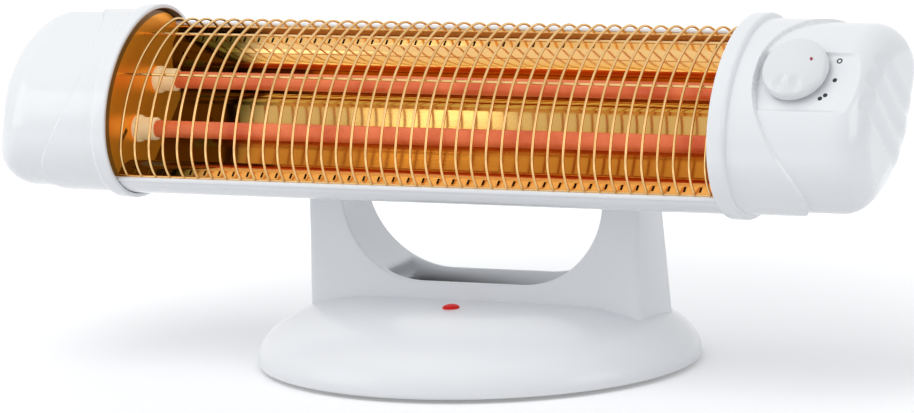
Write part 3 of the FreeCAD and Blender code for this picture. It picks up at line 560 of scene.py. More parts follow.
class Finishes:
    """All finishes of the heater."""

    CAP = Finish("cap_plastic", (0.87, 0.885, 0.90), (0.88, 0.893, 0.908), (0.17, 0.18), 0.0, coat=0.5)
    KNOB = Finish("knob_plastic", (0.80, 0.81, 0.82), (0.815, 0.825, 0.835), (0.2, 0.21), 0.0, coat=0.4)
    STAND = Finish(
        "stand_plastic", (0.835, 0.845, 0.865), (0.845, 0.855, 0.875), (0.3, 0.31), 0.0, coat=0.25,
        # painted shade: the hollow attribute darkens the sill's hollow, more towards the left
        painted_shades=(("hollow", 0.0, 1.0, (0.07, 0.07, 0.075)),),
    )
    SHELL = Finish("shell_enamel", (0.86, 0.87, 0.89), (0.87, 0.88, 0.898), (0.2, 0.21), 0.0, coat=0.4)
    # painted shade: dark colour for the shadowed seat inside each cap's rim
    SEAT_SHADE = Finish("painted_seat_shade", (0.10, 0.09, 0.06), (0.16, 0.13, 0.08), (0.4, 0.55), 1e-5)
    REFLECTOR = Finish(
        "rolled_reflector", (0.95, 0.56, 0.19), (0.90, 0.50, 0.15), (0.05, 0.11), 8e-6, 1.0,
        drawn=True, grain=40.0,
        # painted reflection and light: gold, olive and amber by height, for the tubes' warm light and a
        # highlight
        painted_reflection_bands=(
            (0.0, (0.92, 0.44, 0.11)), (0.10, (0.88, 0.38, 0.08)), (0.13, (0.70, 0.30, 0.05)),
            (0.20, (0.50, 0.16, 0.016)), (0.27, (0.46, 0.15, 0.014)), (0.42, (0.54, 0.19, 0.02)),
            (0.48, (0.55, 0.27, 0.035)), (0.60, (0.62, 0.37, 0.11)), (0.66, (0.62, 0.37, 0.11)),
            (0.72, (0.56, 0.28, 0.035)), (0.78, (0.78, 0.36, 0.05)), (0.82, (0.88, 0.46, 0.11)),
            (0.85, (0.90, 0.54, 0.20)), (0.885, (0.90, 0.56, 0.23)), (0.91, (0.84, 0.47, 0.15)),
            (1.0, (0.84, 0.47, 0.15)),
        ),
        # painted shade: the reflector darkens towards its left end
        painted_shades=(("Along", -126.0 * MM, -154.0 * MM, (0.09, 0.06, 0.008)),),
    )
    # painted light: orange and glow for the tubes' light on the plates; painted shadow along the front edge
    PLATE = Finish(
        "end_plate_metal", (0.95, 0.38, 0.03), (0.84, 0.28, 0.015), (0.26, 0.4), 8e-6, 0.7,
        drawn=True, glow=0.12,
        painted_shades=(("Edge", 0.955, 0.97, (0.05, 0.045, 0.035)),),
    )
    # painted light: the gold tint on the chrome wires stands in for the tubes' warm light
    WIRE = Finish(
        "guard_wire_metal", (0.86, 0.57, 0.25), (0.74, 0.46, 0.18), (0.18, 0.28), 6e-6, 1.0, mottling=60.0,
    )
    TUBE = Finish(
        "glowing_quartz", (0.60, 0.095, 0.028), (0.82, 0.20, 0.075), (0.22, 0.32), 1e-5,
        coat=0.1, mottling=40.0, glow=0.2, glow_second=(1.0, 0.26, 0.08), specular=0.25,
    )
    WINDING = Finish("hot_winding", (0.9, 0.3, 0.12), (1.0, 0.42, 0.2), (0.5, 0.6), 2e-5, glow=0.8)
    # painted light: the glow stands in for the tubes' light on the ceramic
    CERAMIC = Finish(
        "fired_ceramic", (0.95, 0.74, 0.38), (0.97, 0.80, 0.48), (0.5, 0.7), 5e-5, grain=500.0, glow=0.22,
    )
    STEEL = Finish(
        "plated_steel", (0.62, 0.62, 0.63), (0.70, 0.70, 0.70), (0.25, 0.4), 1e-5, 1.0, mottling=80.0,
    )
    BLACK = Finish("black_moulding", (0.025, 0.025, 0.027), (0.045, 0.045, 0.047), (0.4, 0.55), 3e-5)
    PALE = Finish("pale_moulding", (0.70, 0.69, 0.64), (0.76, 0.75, 0.71), (0.4, 0.5), 2e-5)
    BOTTOM = Finish(
        "bottom_plate_moulding", (0.66, 0.67, 0.69), (0.71, 0.72, 0.73), (0.45, 0.6), 4e-5, grain=1400.0,
    )
    RUBBER = Finish("foot_rubber", (0.03, 0.03, 0.03), (0.06, 0.06, 0.06), (0.7, 0.85), 5e-5)
    LENS = Finish(
        "pilot_red", (0.45, 0.006, 0.006), (0.55, 0.012, 0.010), (0.3, 0.4), 4e-6, mottling=120.0, glow=0.3,
        specular=0.12,
    )
    LAMP = Finish("lamp_bulb", (0.8, 0.35, 0.2), (0.9, 0.45, 0.3), (0.05, 0.1), 4e-6, transmission=0.6)
    INK = Finish("dial_ink", (0.012, 0.012, 0.014), (0.03, 0.03, 0.03), (0.4, 0.5), 4e-6, mottling=300.0)
    POINTER = Finish(
        "pointer_red", (0.30, 0.02, 0.05), (0.40, 0.03, 0.06), (0.35, 0.45), 4e-6, mottling=300.0,
    )


# Sub-assemblies


@dataclass
class Head:
    """Place, tilt and oval section that all head pieces share."""

    axis_y: float = -28.4 * MM
    axis_z: float = 152.4 * MM
    tilt: float = 47.0
    half_height: float = 58.3 * MM
    half_depth: float = 44.6 * MM
    mouth: float = 190.0 * MM
    plate_x: float = 195.0 * MM
    tube_rise: float = 17.9 * MM
    hoop_run: float = 185.0 * MM
    hoop_count: int = 40

    def seat(self, points: Array) -> Array:
        """Tilt points drawn facing forward and lift them to the head's axis."""
        return turn_about_x(points, -self.tilt) + np.array([0.0, self.axis_y, self.axis_z])

    def unseat(self, points: Array) -> Array:
        """Bring points of the shared frame back to the head drawn facing forward."""
        return turn_about_x(points - np.array([0.0, self.axis_y, self.axis_z]), self.tilt)

    def oval(self, turn: Array, grow: Array) -> tuple[Array, Array]:
        """Depth and rise of the oval at angles, moved outwards along its normal.

        Args:
            turn: angles, zero at the back and a quarter turn at the top.
            grow: distance outwards.

        Returns:
            Depth and rise arrays.
        """
        ny, nz = np.cos(turn) / self.half_depth, np.sin(turn) / self.half_height
        length = np.hypot(ny, nz)
        depth = self.half_depth * np.cos(turn) + grow * ny / length
        rise = self.half_height * np.sin(turn) + grow * nz / length
        return depth, rise

    def arch(self, half_span: float, height: float, corner: float) -> tuple[float, float, float]:
        """Arch with upright ends: a crown arc that touches two corner arcs.

        Args:
            half_span: half of its width.
            height: height of the crown.
            corner: radius of the corners.

        Returns:
            Depth of the crown's centre below the ends, crown radius and angle of the joint.
        """
        run, rise = half_span - corner, height - corner
        centre = (run ** 2 - rise ** 2) / (2.0 * rise)
        return centre, height + centre, math.atan2(run, centre)


@dataclass
class ControlPlace:
    """Flat floor of the control pocket and the knob's axis on it."""

    head: Head
    lean: float = 5.0
    floor: float = 38.6 * MM
    rise: float = -2.5 * MM
    height: float = 36.0 * MM
    knob_x: float = 233.4 * MM
    knob_rise: float = 3.5 * MM

    def seat(self, points: Array) -> Array:
        """Move points drawn as right, up and outwards from the knob's axis to their place.

        Args:
            points: array whose last axis is right, up, outwards.

        Returns:
            The points in the shared frame.
        """
        u, v, w = np.moveaxis(points, -1, 0)
        drawn = np.stack([self.knob_x + u, -self.floor - w, self.knob_rise + v], axis=-1)
        return self.head.seat(turn_about_x(drawn, self.lean))


@dataclass
class EndCap:
    """Moulded cap: proud rim, sleeve with a curved edge, rounded end with louvred grooves."""

    head: Head
    control: ControlPlace
    side: Side
    length: float = 86.0 * MM
    end_round: float = 29.0 * MM
    rim_proud: float = 2.8 * MM
    rim_length: float = 10.0 * MM
    rim_round: float = 1.2 * MM
    rim_shoulder: float = 2.2 * MM
    seat_depth: float = 8.0 * MM
    seat_grow: float = 0.3 * MM
    sleeve_grow: float = -0.3 * MM
    body_grow: float = -2.3 * MM
    wall: float = 2.5 * MM
    end_wall: float = 4.4 * MM
    tongue_gap: float = 21.0 * MM
    tongue_radius: float = 67.0 * MM
    step_width: float = 0.7 * MM
    groove_rises: tuple[float, ...] = (-16.5 * MM, -1.0 * MM, 14.5 * MM)
    groove_depth: float = 2.0 * MM
    groove_ledge: float = 2.6 * MM
    groove_slope: float = 10.0 * MM
    right_groove_span: tuple[float, float] = (0.72, 0.24)
    left_groove_span: tuple[float, float] = (0.94, 0.06)
    tight_share: float = 0.6
    back_span: tuple[float, float] = (0.1, 0.85)
    front_span: tuple[float, float] = (-0.95, 0.75)
    mouth_ease: float = 0.3 * MM
    rim_gap: float = 0.2 * MM
    pocket_edge: float = 0.8 * MM
    # reach of the painted shade on the seat inside the rim
    seat_shade_grow: float = 0.9 * MM
    seat_shade_start: float = 0.5 * MM
    seat_shade_over: float = 0.1 * MM
    sharp_degrees: float = 55.0
    round_rows: int = 10
    body_rows: int = 118
    end_rows: int = 64
    flat_rows: int = 60
    columns: int = 330

    def profile(self) -> tuple[Array, Array, Array, Array]:
        """Rows of the cap from the pole inside, over the rim, to the pole outside.

        Each row has a place along X, a distance outwards from the oval and a share by which the ring
        shrinks towards its middle, which closes the flat ends.

        Returns:
            Arrays of place, distance and share, and one for the rows past the rim.
        """
        end = self.head.mouth + self.length
        inner_end, inner_round = end - self.end_wall, self.end_round - self.wall
        inside = self.body_grow - self.wall
        bend = np.linspace(0.0, math.pi / 2, self.round_rows)
        rows = [(inner_end, inside - inner_round, share) for share in (0.0, 0.5)]
        rows += [
            (inner_end - inner_round * (1.0 - math.cos(a)), inside - inner_round * (1.0 - math.sin(a)), 1.0)
            for a in bend
        ]
        mouth = self.head.mouth
        rows += [(mouth + self.seat_depth, inside, 1.0), (mouth + self.seat_depth, self.seat_grow, 1.0)]
        rows += [(mouth + self.mouth_ease, self.seat_grow, 1.0)]
        rows += [(mouth, self.seat_grow + self.mouth_ease, 1.0)]
        proud, nose, shoulder = self.rim_proud, self.rim_round, self.rim_shoulder
        rows += [
            (mouth + nose * (1 - math.sin(a)), proud - nose * (1 - math.cos(a)), 1.0) for a in bend[::-1]
        ]
        top = mouth + self.rim_length - shoulder
        rows += [(top + shoulder * math.sin(a), proud - shoulder * (1 - math.cos(a)), 1.0) for a in bend]
        start, turn = mouth + self.rim_length + self.rim_gap, end - self.end_round
        inner_rows = len(rows)
        rows += [(x, self.body_grow, 1.0) for x in np.linspace(start, turn, self.body_rows)]
        rows += [
            (turn + self.end_round * math.sin(a), self.body_grow - self.end_round * (1 - math.cos(a)), 1.0)
            for a in np.linspace(0.0, math.pi / 2, self.end_rows)[1:]
        ]
        shrink = np.linspace(1.0, 0.0, self.flat_rows)[1:]
        rows += [(end, self.body_grow - self.end_round, share) for share in shrink]
        place, grow, share = np.array(rows).T
        outer = np.arange(len(rows)) >= inner_rows
        return place[:, None], grow[:, None], share[:, None], outer[:, None].astype(float)

    def groove(self, lean: Array, z: Array) -> Array:
        """Depth of the louvred grooves: a steep ledge below each crease and a long slope above it.

        Args:
            lean: turn of the surface towards the end.
            z: heights across the head.

        Returns:
            Depth to take off along the normal, eased in over the rounded end.
        """
        rise = np.array(self.groove_rises)[:, None, None]
        above = 1.0 - (z - rise) / self.groove_slope
        below = 1.0 - (rise - z) / self.groove_ledge
        cut = np.clip(np.minimum(above, below), 0.0, 1.0).max(axis=0)
        span = self.right_groove_span if self.side is Side.RIGHT else self.left_groove_span
        return self.groove_depth * smooth_step(cut) * ease(lean, span)

    def lean(self, x: Array) -> Array:
        """Sine of the surface's turn towards the end: 0 on the body and 1 on the flat end."""
        start = self.head.mouth + self.length - self.end_round
        return np.clip((x - start) / self.end_round, 0.0, 1.0)

    def tightness(self, turn: Array) -> Array:
        """Share of the end's full rounding at angles round the oval.

        The right cap's end is tight but for its back, which follows a smooth step of the cosine. The left
        one's is tight above and below, by the cubed sine, and eases to the full rounding at the front.

        Args:
            turn: angles, zero at the back and a quarter turn at the top.

        Returns:
            Shares from the tight one to one.
        """
        if self.side is Side.RIGHT:
            weight = 1.0 - ease(np.cos(turn), self.back_span)
        else:
            weight = np.abs(np.sin(turn)) ** 3 * ease(np.cos(turn), self.front_span)
        return 1.0 - (1.0 - self.tight_share) * weight

    def sink_pocket(
        self, x: Array, y: Array, z: Array, outer: Array, hollow: Array
    ) -> tuple[Array, Array, Array]:
        """Sink the control pocket: hold the facing distance down to its floor between two level edges.

        Args:
            x, y, z: the surface so far, facing forward.
            outer: one on the rows past the rim, zero on the others.
            hollow: one on the rows of the inside, which stay a wall's thickness behind the floor.

        Returns:
            The surface with the pocket.
        """
        place = self.control
        turned = turn_about_x(np.stack([x, y, z], axis=-1), -place.lean)
        facing, level = -turned[..., 1], turned[..., 2]
        edge = place.height / 2 - np.abs(level - place.rise)
        mask = smooth_step(edge / self.pocket_edge + 0.5) * self.body_share(x, z) * outer
        mask = np.maximum(mask, hollow)
        floor = place.floor - self.wall * hollow
        turned[..., 1] = mask * np.maximum(facing - floor, 0.0) - facing
        return tuple(np.moveaxis(turn_about_x(turned, place.lean), -1, 0))

    def body_share(self, x: Array, z: Array) -> Array:
        """Share of the rounded body: it eases to zero outside a circle seen from the front.

        Args:
            x: places along the head.
            z: heights across the head.

        Returns:
            One on the body and zero on the sleeve.
        """
        middle = self.head.mouth + self.tongue_gap + self.tongue_radius
        outside = np.hypot(np.minimum(x - middle, 0.0), z) - self.tongue_radius
        return 1.0 - smooth_step(outside / self.step_width + 0.5)

    def surface(self) -> Array:
        """Rings of the whole cap: the oval moved in and out along its normal by the rows' distances.

        Returns:
            Array of rows, columns and x, y, z in the shared frame.
        """
        place, grow, share, outer = self.profile()
        turn = np.linspace(0.0, 2.0 * math.pi, self.columns, endpoint=False)[None, :]
        x = np.repeat(place, self.columns, axis=1)
        start, end = self.head.mouth + self.rim_length, self.head.mouth + self.length
        bend, tight = end - self.end_round, self.tightness(turn)
        body = start + (x - start) * (end - self.end_round * tight - start) / (bend - start)
        x = np.where(outer == 0.0, x, np.where(x < bend, body, end - (end - x) * tight))
        grow = np.where(outer == 0.0, grow, self.body_grow - (self.body_grow - grow) * tight)
        _, level = self.head.oval(turn, grow)
        level = level * share
        raised = (self.sleeve_grow - self.body_grow) * (1.0 - self.body_share(x, level)) * (share == 1.0)
        lean = self.lean(place)
        cut = self.groove(lean, level) * outer
        y, z = self.head.oval(turn, grow + raised * outer - cut * np.sqrt(1.0 - lean ** 2))
        x, y, z = x - cut * lean, y * share, z * share
        if self.side is Side.RIGHT:
            x, y, z = self.sink_pocket(x, y, z, outer, (1.0 - outer) * (grow < 0.0))
        return self.head.seat(np.stack([x * self.side.value, y, z], axis=-1))

    def build(self) -> bpy.types.Object:
        """Make, dress and mount the cap.

        Returns:
            The cap.
        """
        name = "end_cap_" + self.side.name.lower()
        piece = ring_surface("moulded_" + name, self.surface(), self.sharp_degrees)
        Finishes.CAP.dress(piece)
        self.paint_seat_shade(piece)
        return mount(piece, name)

    def paint_seat_shade(self, piece: bpy.types.Object) -> None:
        """Paint shade on the seat inside the rim with a dark colour, by the middles of the faces.

        Args:
            piece: the cap.
        """
        count = len(piece.data.polygons)
        middles = np.empty(3 * count)
        piece.data.polygons.foreach_get("center", middles)
        x, y, z = np.moveaxis(self.head.unseat(middles.reshape(-1, 3)), -1, 0)
        x = x * self.side.value - self.head.mouth
        grow = self.seat_shade_grow
        reach = np.hypot(y / (self.head.half_depth + grow), z / (self.head.half_height + grow))
        seat = (x > self.seat_shade_start) & (x < self.seat_depth + self.seat_shade_over) & (reach < 1.0)
        piece.data.materials.append(Finishes.SEAT_SHADE.material())
        piece.data.polygons.foreach_set("material_index", seat.astype(np.int32))


@dataclass
class Trough:
    """Rear shell and reflector: open profiles of sheet carried along the head."""

    head: Head
    shell_half: float = 196.5 * MM
    shell_wall: float = 0.8 * MM
    hem: float = 1.4 * MM
    set_back: float = 3.6 * MM
    depth: float = 27.0 * MM
    strip: float = 12.0 * MM
    wall_rise: float = 17.9 * MM
    lip_rise: float = 9.9 * MM
    lip_depth: float = 6.4 * MM
    corner: float = 4.0 * MM
    sheet: float = 0.6 * MM
    slot_set_out: float = 1.6 * MM
    slot_length: float = 3.6 * MM
    slot_half: float = 0.7 * MM
    hem_sweep: tuple[float, float] = (60.0, 300.0)
    hem_points: int = 14
    shell_points: int = 90
    hem_skip: int = 2
    back_points: int = 11
    rows: int = 60

    def along(self, name: str, outline: Array, half: float) -> bpy.types.Object:
        """Carry a closed outline of depth and rise along X.

        Args:
            name: name of the piece.
            outline: rows of depth and rise.
            half: half of the length.

        Returns:
            The new object.
        """
        x = np.linspace(-half, half, self.rows)[:, None] * np.ones(len(outline))
        y = np.ones((self.rows, 1)) * outline[None, :, 0]
        z = np.ones((self.rows, 1)) * outline[None, :, 1]
        return ring_surface(name, self.head.seat(np.stack([x, y, z], axis=-1)))

    def shell(self) -> bpy.types.Object:
        """Half oval from hem to hem, back along its inside; each hem is a rolled bead.

        Returns:
            The shell.
        """
        turn = np.linspace(-math.pi / 2, math.pi / 2, self.shell_points)[self.hem_skip:-self.hem_skip]
        outside = np.stack(self.head.oval(turn, np.zeros_like(turn)), axis=-1)
        inside = np.stack(self.head.oval(turn, np.full_like(turn, -self.shell_wall)), axis=-1)[::-1]
        middle = self.head.half_height - self.hem
        upper = arc((0.0, middle), self.hem, *self.hem_sweep, self.hem_points)
        lower = arc((0.0, -middle), self.hem, *self.hem_sweep, self.hem_points)
        outline = np.concatenate([outside, upper, inside, lower])
        piece = self.along("enamelled_shell", outline, self.shell_half)
        Finishes.SHELL.dress(piece)
        return mount(piece, "rear_shell")

    def reflector(self) -> bpy.types.Object:
        """Flat back, walls with a flared lip and a flat strip along each edge, slotted beside each hoop.

        Back, wall and lip are straight lines, joined by parabolas that touch both lines.

        The sheet is a grid of places along X and points of the section. Its cells between the two edges
        of a slot, on the slotted part of either strip, are left open.

        Returns:
            The reflector.
        """
        edge = self.head.half_height - self.hem
        mouth = edge - self.strip
        bend = np.array([self.set_back + self.depth, mouth - self.wall_rise])
        knee = np.array([self.set_back + self.lip_depth, mouth - self.lip_rise])
        front = np.array([self.set_back, mouth])
        back = np.linspace(0.0, bend[1] - self.corner, self.back_points + 1)[:-1]
        flat_back = np.stack([np.full_like(back, bend[0]), back], axis=-1)
        bent = [
            ease_corner(np.array([bend[0], 0.0]), bend, knee, self.corner),
            ease_corner(bend, knee, front, self.corner),
        ]
        slot = mouth + self.slot_set_out
        strip = np.array([mouth, slot, slot + self.slot_length, edge])
        flat = np.stack([np.full_like(strip, self.set_back), strip], axis=-1)
        upper = np.concatenate([flat_back, *bent, flat])
        outline = np.concatenate([(upper * np.array([1.0, -1.0]))[:0:-1], upper])
        hoops = np.linspace(-self.head.hoop_run, self.head.hoop_run, self.head.hoop_count)
        sides = (hoops[:, None] + np.array([-self.slot_half, self.slot_half])).ravel()
        end = self.head.plate_x - SEAT_GAP
        x = np.concatenate([[-end], sides, [end]])
        rows, columns = len(x), len(outline)
        points = np.column_stack([np.repeat(x, columns), np.tile(outline, (rows, 1))])
        i, j = np.meshgrid(np.arange(rows - 1), np.arange(columns - 1), indexing="ij")
        quads = np.stack([i, i + 1, i + 1, i], axis=-1) * columns
        quads = quads + np.stack([j, j, j + 1, j + 1], axis=-1)
        open_cell = (i % 2 == 1) & ((j == 1) | (j == columns - 3))
        faces = quads[~open_cell].tolist()
        piece = add_object("polished_trough", self.head.seat(points), faces, thickness=self.sheet)
        Finishes.REFLECTOR.dress(piece)
        return mount(piece, "reflector")


@dataclass
class Guard:
    """Wire guard: bent hoops over long rails."""

    head: Head
    wire: float = 0.8 * MM
    edge_rise: float = 54.65 * MM
    depth: float = 32.0 * MM
    corner: float = 22.0 * MM
    rail_rises: tuple[float, ...] = (-4.0 * MM, 31.0 * MM)
    rail_half: float = 197.6 * MM
    end_degrees: float = 88.0
    corner_points: int = 10
    crown_points: int = 24
    rail_points: int = 60
    sides: int = 10

    def hoop(self) -> Array:
        """Path of one hoop in depth and rise: a crown arc between two corner arcs.

        Returns:
            Rows of depth and rise from the lower rail to the upper one.
        """
        centre, radius, joint = self.head.arch(self.edge_rise, self.depth, self.corner)
        bend = np.linspace(math.radians(self.end_degrees), joint, self.corner_points)
        top = self.edge_rise - self.corner
        corner = np.stack([-self.corner * np.cos(bend), top + self.corner * np.sin(bend)], axis=-1)
        sweep = np.linspace(joint, -joint, self.crown_points)[1:-1]
        crown = np.stack([centre - radius * np.cos(sweep), radius * np.sin(sweep)], axis=-1)
        return np.concatenate([corner, crown, (corner * np.array([1.0, -1.0]))[::-1]])

    def hoops(self) -> bpy.types.Object:
        """All hoops at an even pitch.

        Returns:
            The hoops as one piece.
        """
        path = self.hoop()
        paths = [
            self.head.seat(np.column_stack([np.full(len(path), x), path]))
            for x in np.linspace(-self.head.hoop_run, self.head.hoop_run, self.head.hoop_count)
        ]
        piece = tube_group("guard_bent_wires", paths, self.wire, self.sides)
        Finishes.WIRE.dress(piece)
        return mount(piece, "guard_hoops")

    def rails(self) -> bpy.types.Object:
        """Long wires, two beside the hems and two inside the crown.

        Returns:
            The rails as one piece.
        """
        centre, radius, _ = self.head.arch(self.edge_rise, self.depth, self.corner)
        inner = radius - 2.0 * self.wire - SEAT_GAP
        places = [(0.0, self.edge_rise), (0.0, -self.edge_rise)]
        turns = [math.asin(rise / radius) for rise in self.rail_rises]
        places += [(centre - inner * math.cos(a), inner * math.sin(a)) for a in turns]
        x = np.linspace(-self.rail_half, self.rail_half, self.rail_points)
        paths = [
            self.head.seat(np.stack([x, np.full_like(x, y), np.full_like(x, z)], axis=-1)) for y, z in places
        ]
        piece = tube_group("guard_long_wires", paths, self.wire, self.sides)
        Finishes.WIRE.dress(piece)
        return mount(piece, "guard_rails")


@dataclass
class HeatingTube:
    """Quartz tube with a ceramic cup on each end."""

    head: Head
    name: str
    rise: float
    set_back: float = 3.6 * MM
    radius: float = 5.0 * MM
    wall: float = 1.1 * MM
    half: float = 190.0 * MM
    ripple_pitch: float = 2.6 * MM
    ripple: float = 0.05 * MM
    ceramic: float = 6.6 * MM
    collar: float = 8.0 * MM
    ceramic_length: float = 14.0 * MM
    collar_length: float = 3.0 * MM
    stud: float = 1.65 * MM
    edge: float = 0.8 * MM
    tube_sharp_degrees: float = 60.0
    cup_sharp_degrees: float = 30.0
    tube_rows: int = 900
    tube_columns: int = 28
    cup_columns: int = 48

    def place(self, points: Array) -> Array:
        """Lay rings drawn about a height axis along X on the tube's axis."""
        u, v, along = np.moveaxis(points, -1, 0)
        return self.head.seat(np.stack([along, u + self.set_back, v + self.rise], axis=-1))

    def tube(self) -> bpy.types.Object:
        """Round tube whose wall swells a little over each turn of the winding inside.

        Returns:
            The tube.
        """
        along = np.linspace(-self.half, self.half, self.tube_rows)
        swell = self.radius - self.ripple * (0.5 - 0.5 * np.cos(2.0 * math.pi * along / self.ripple_pitch))
        outside = np.stack([swell, along], axis=-1)
        bore = self.radius - self.wall
        inside = np.array([[bore, self.half], [bore, -self.half]])
        rings = self.place(revolve(np.concatenate([outside, inside]), self.tube_columns))
        piece = ring_surface("glowing_tube_" + self.name, rings, self.tube_sharp_degrees, wrap=True)
        Finishes.TUBE.dress(piece)
        return mount(piece, "quartz_tube_" + self.name)

    def cup(self, side: Side) -> bpy.types.Object:
        """Turned ceramic cup with a collar against the end plate and eased edges.

        Args:
            side: end of the head.

        Returns:
            The cup.
        """
        seat = self.head.plate_x - SEAT_GAP
        mouth, step, e = seat - self.ceramic_length, seat - self.collar_length, self.edge
        bore, floor = self.radius + SEAT_GAP, self.half + SEAT_GAP
        profile = np.array([
            [self.stud, floor], [self.stud, seat], [self.collar - e, seat], [self.collar, seat - e],
            [self.collar, step + e], [self.collar - e / 2, step], [self.ceramic + e / 2, step],
            [self.ceramic, step - e / 2], [self.ceramic, mouth + e], [self.ceramic - e, mouth], [bore, mouth],
            [bore, floor],
        ])
        profile[:, 1] *= side.value
        rings = revolve(profile, self.cup_columns)
        name = "ceramic_" + self.name + "_" + side.name.lower()
        piece = ring_surface("fired_" + name, self.place(rings), self.cup_sharp_degrees, wrap=True)
        Finishes.CERAMIC.dress(piece)
        return mount(piece, name)


@dataclass
class ControlKnob:
    """Domed knob with finger dents, its red pointer and the marks on the pocket floor."""

    place: ControlPlace
    radius: float = 18.5 * MM
    lift: float = 2.4 * MM
    skirt: float = 2.4 * MM
    crown: float = 6.2 * MM
    edge_round: float = 3.2 * MM
    rim_ease: float = 0.3 * MM
    wall: float = 2.0 * MM
    dent_turns: tuple[float, ...] = (-112.0, -70.0)
    dent_share: float = 0.66
    dent_depth: float = 1.3 * MM
    dent_size: float = 4.6 * MM
    dent_stretch: float = 1.3
    dent_span: tuple[float, float] = (0.1, 0.9)
    pointer_turn: float = 18.0
    pointer_share: float = 0.57
    pointer_radius: float = 1.1 * MM
    mark_radius: float = 1.3 * MM
    mark_height: float = 0.12 * MM
    dot_shares: tuple[tuple[float, float], ...] = (
        (0.0, 1.0), (0.6, 1.0), (0.9, 0.8), (1.0, 0.0), (0.0, -0.5),
    )
    marks: tuple[tuple[float, float], ...] = (
        (22.2 * MM, -3.8 * MM), (16.5 * MM, -15.4 * MM), (19.0 * MM, -13.3 * MM),
    )
    ring_mark: tuple[float, float] = (22.0 * MM, 8.3 * MM)
    ring_face: tuple[float, float] = (0.95 * MM, 1.6 * MM)
    ring_foot: tuple[float, float] = (0.85 * MM, 1.7 * MM)
    dome_rows: int = 70
    knob_columns: int = 160
    dot_columns: int = 24
    ring_columns: int = 32

    def dome(self, reach: Array) -> Array:
        """Height of the dome: a crown arc, then a corner arc down to the skirt.

        Args:
            reach: distances from the axis.

        Returns:
            Heights over the pocket floor.
        """
        centre, radius, joint = self.place.head.arch(self.radius, self.crown, self.edge_round)
        base = self.lift + self.skirt
        crown = base - centre + np.sqrt(np.maximum(radius ** 2 - reach ** 2, 0.0))
        over = np.clip(reach - (self.radius - self.edge_round), 0.0, self.edge_round)
        corner = base + np.sqrt(np.maximum(self.edge_round ** 2 - over ** 2, 0.0))
        return np.where(reach < radius * math.sin(joint), crown, corner)

    def knob(self) -> bpy.types.Object:
        """Turned knob; each finger dent lowers the dome by an eased bell round its middle.

        Returns:
            The knob.
        """
        reach = self.radius * np.sin(np.linspace(0.0, math.pi / 2, self.dome_rows))
        top = np.stack([reach, self.dome(reach)], axis=-1)
        inner, base, e = self.radius - self.wall, self.lift + self.skirt, self.rim_ease
        under = np.array([
            [self.radius, self.lift + e], [self.radius - e, self.lift], [inner, self.lift],
            [inner, base], [0.0, base],
        ])
        rings = revolve(np.concatenate([top, under]), self.knob_columns)
        turn = np.radians(np.array(self.dent_turns))[:, None, None]
        cos, sin = np.cos(turn), np.sin(turn)
        reach = self.radius * self.dent_share
        right, up = rings[..., 0] - reach * cos, rings[..., 1] - reach * sin
        along, across = right * cos + up * sin, up * cos - right * sin
        away = np.hypot(along / self.dent_stretch, across) / self.dent_size
        dip = self.dent_depth * (1.0 - ease(away, self.dent_span)).max(axis=0)
        rings[..., 2] -= np.where(np.arange(len(rings))[:, None] < len(top), dip, 0.0)
        piece = ring_surface("domed_knob", self.place.seat(rings))
        Finishes.KNOB.dress(piece)
        return mount(piece, "knob", KNOB)

    def dot(self, u: float, v: float, base: float, radius: float) -> Array:
        """Rings of a flat printed dot with a softly rounded edge: its shares times radius and height.

        Args:
            u, v: place of its middle.
            base: height that it lies at.
            radius: its radius.

        Returns:
            Array of rows, columns and u, v, height.
        """
        profile = np.array(self.dot_shares) * np.array([radius, self.mark_height])
        return revolve(profile, self.dot_columns) + np.array([u, v, base])

    def pointer(self) -> bpy.types.Object:
        """Red dot on the knob's dome.

        Returns:
            The dot.
        """
        reach = self.radius * self.pointer_share
        turn = math.radians(self.pointer_turn)
        base = float(self.dome(np.array([reach]))[0])
        rings = self.dot(reach * math.cos(turn), reach * math.sin(turn), base, self.pointer_radius)
        piece = ring_surface("knob_pointer", self.place.seat(rings))
        Finishes.POINTER.dress(piece)
        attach(piece, KNOB)
        return piece

    def dial(self) -> list[bpy.types.Object]:
        """Printed marks on the pocket floor: an open ring, one dot and two dots.

        Returns:
            The marks.
        """
        made = []
        for number, (u, v) in enumerate(self.marks):
            rings = self.dot(u, v, 0.0, self.mark_radius)
            made.append(ring_surface("dial_dot_%d" % number, self.place.seat(rings)))
        h, face, foot = self.mark_height, self.ring_face, self.ring_foot
        profile = np.array([[face[0], h], [face[1], h], [foot[1], -h], [foot[0], -h]])
        rings = revolve(profile, self.ring_columns) + np.array([*self.ring_mark, 0.0])
        made.append(ring_surface("dial_ring", self.place.seat(rings), wrap=True))
        for piece in made:
            Finishes.INK.dress(piece)
            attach(piece, HEATER)
        return made


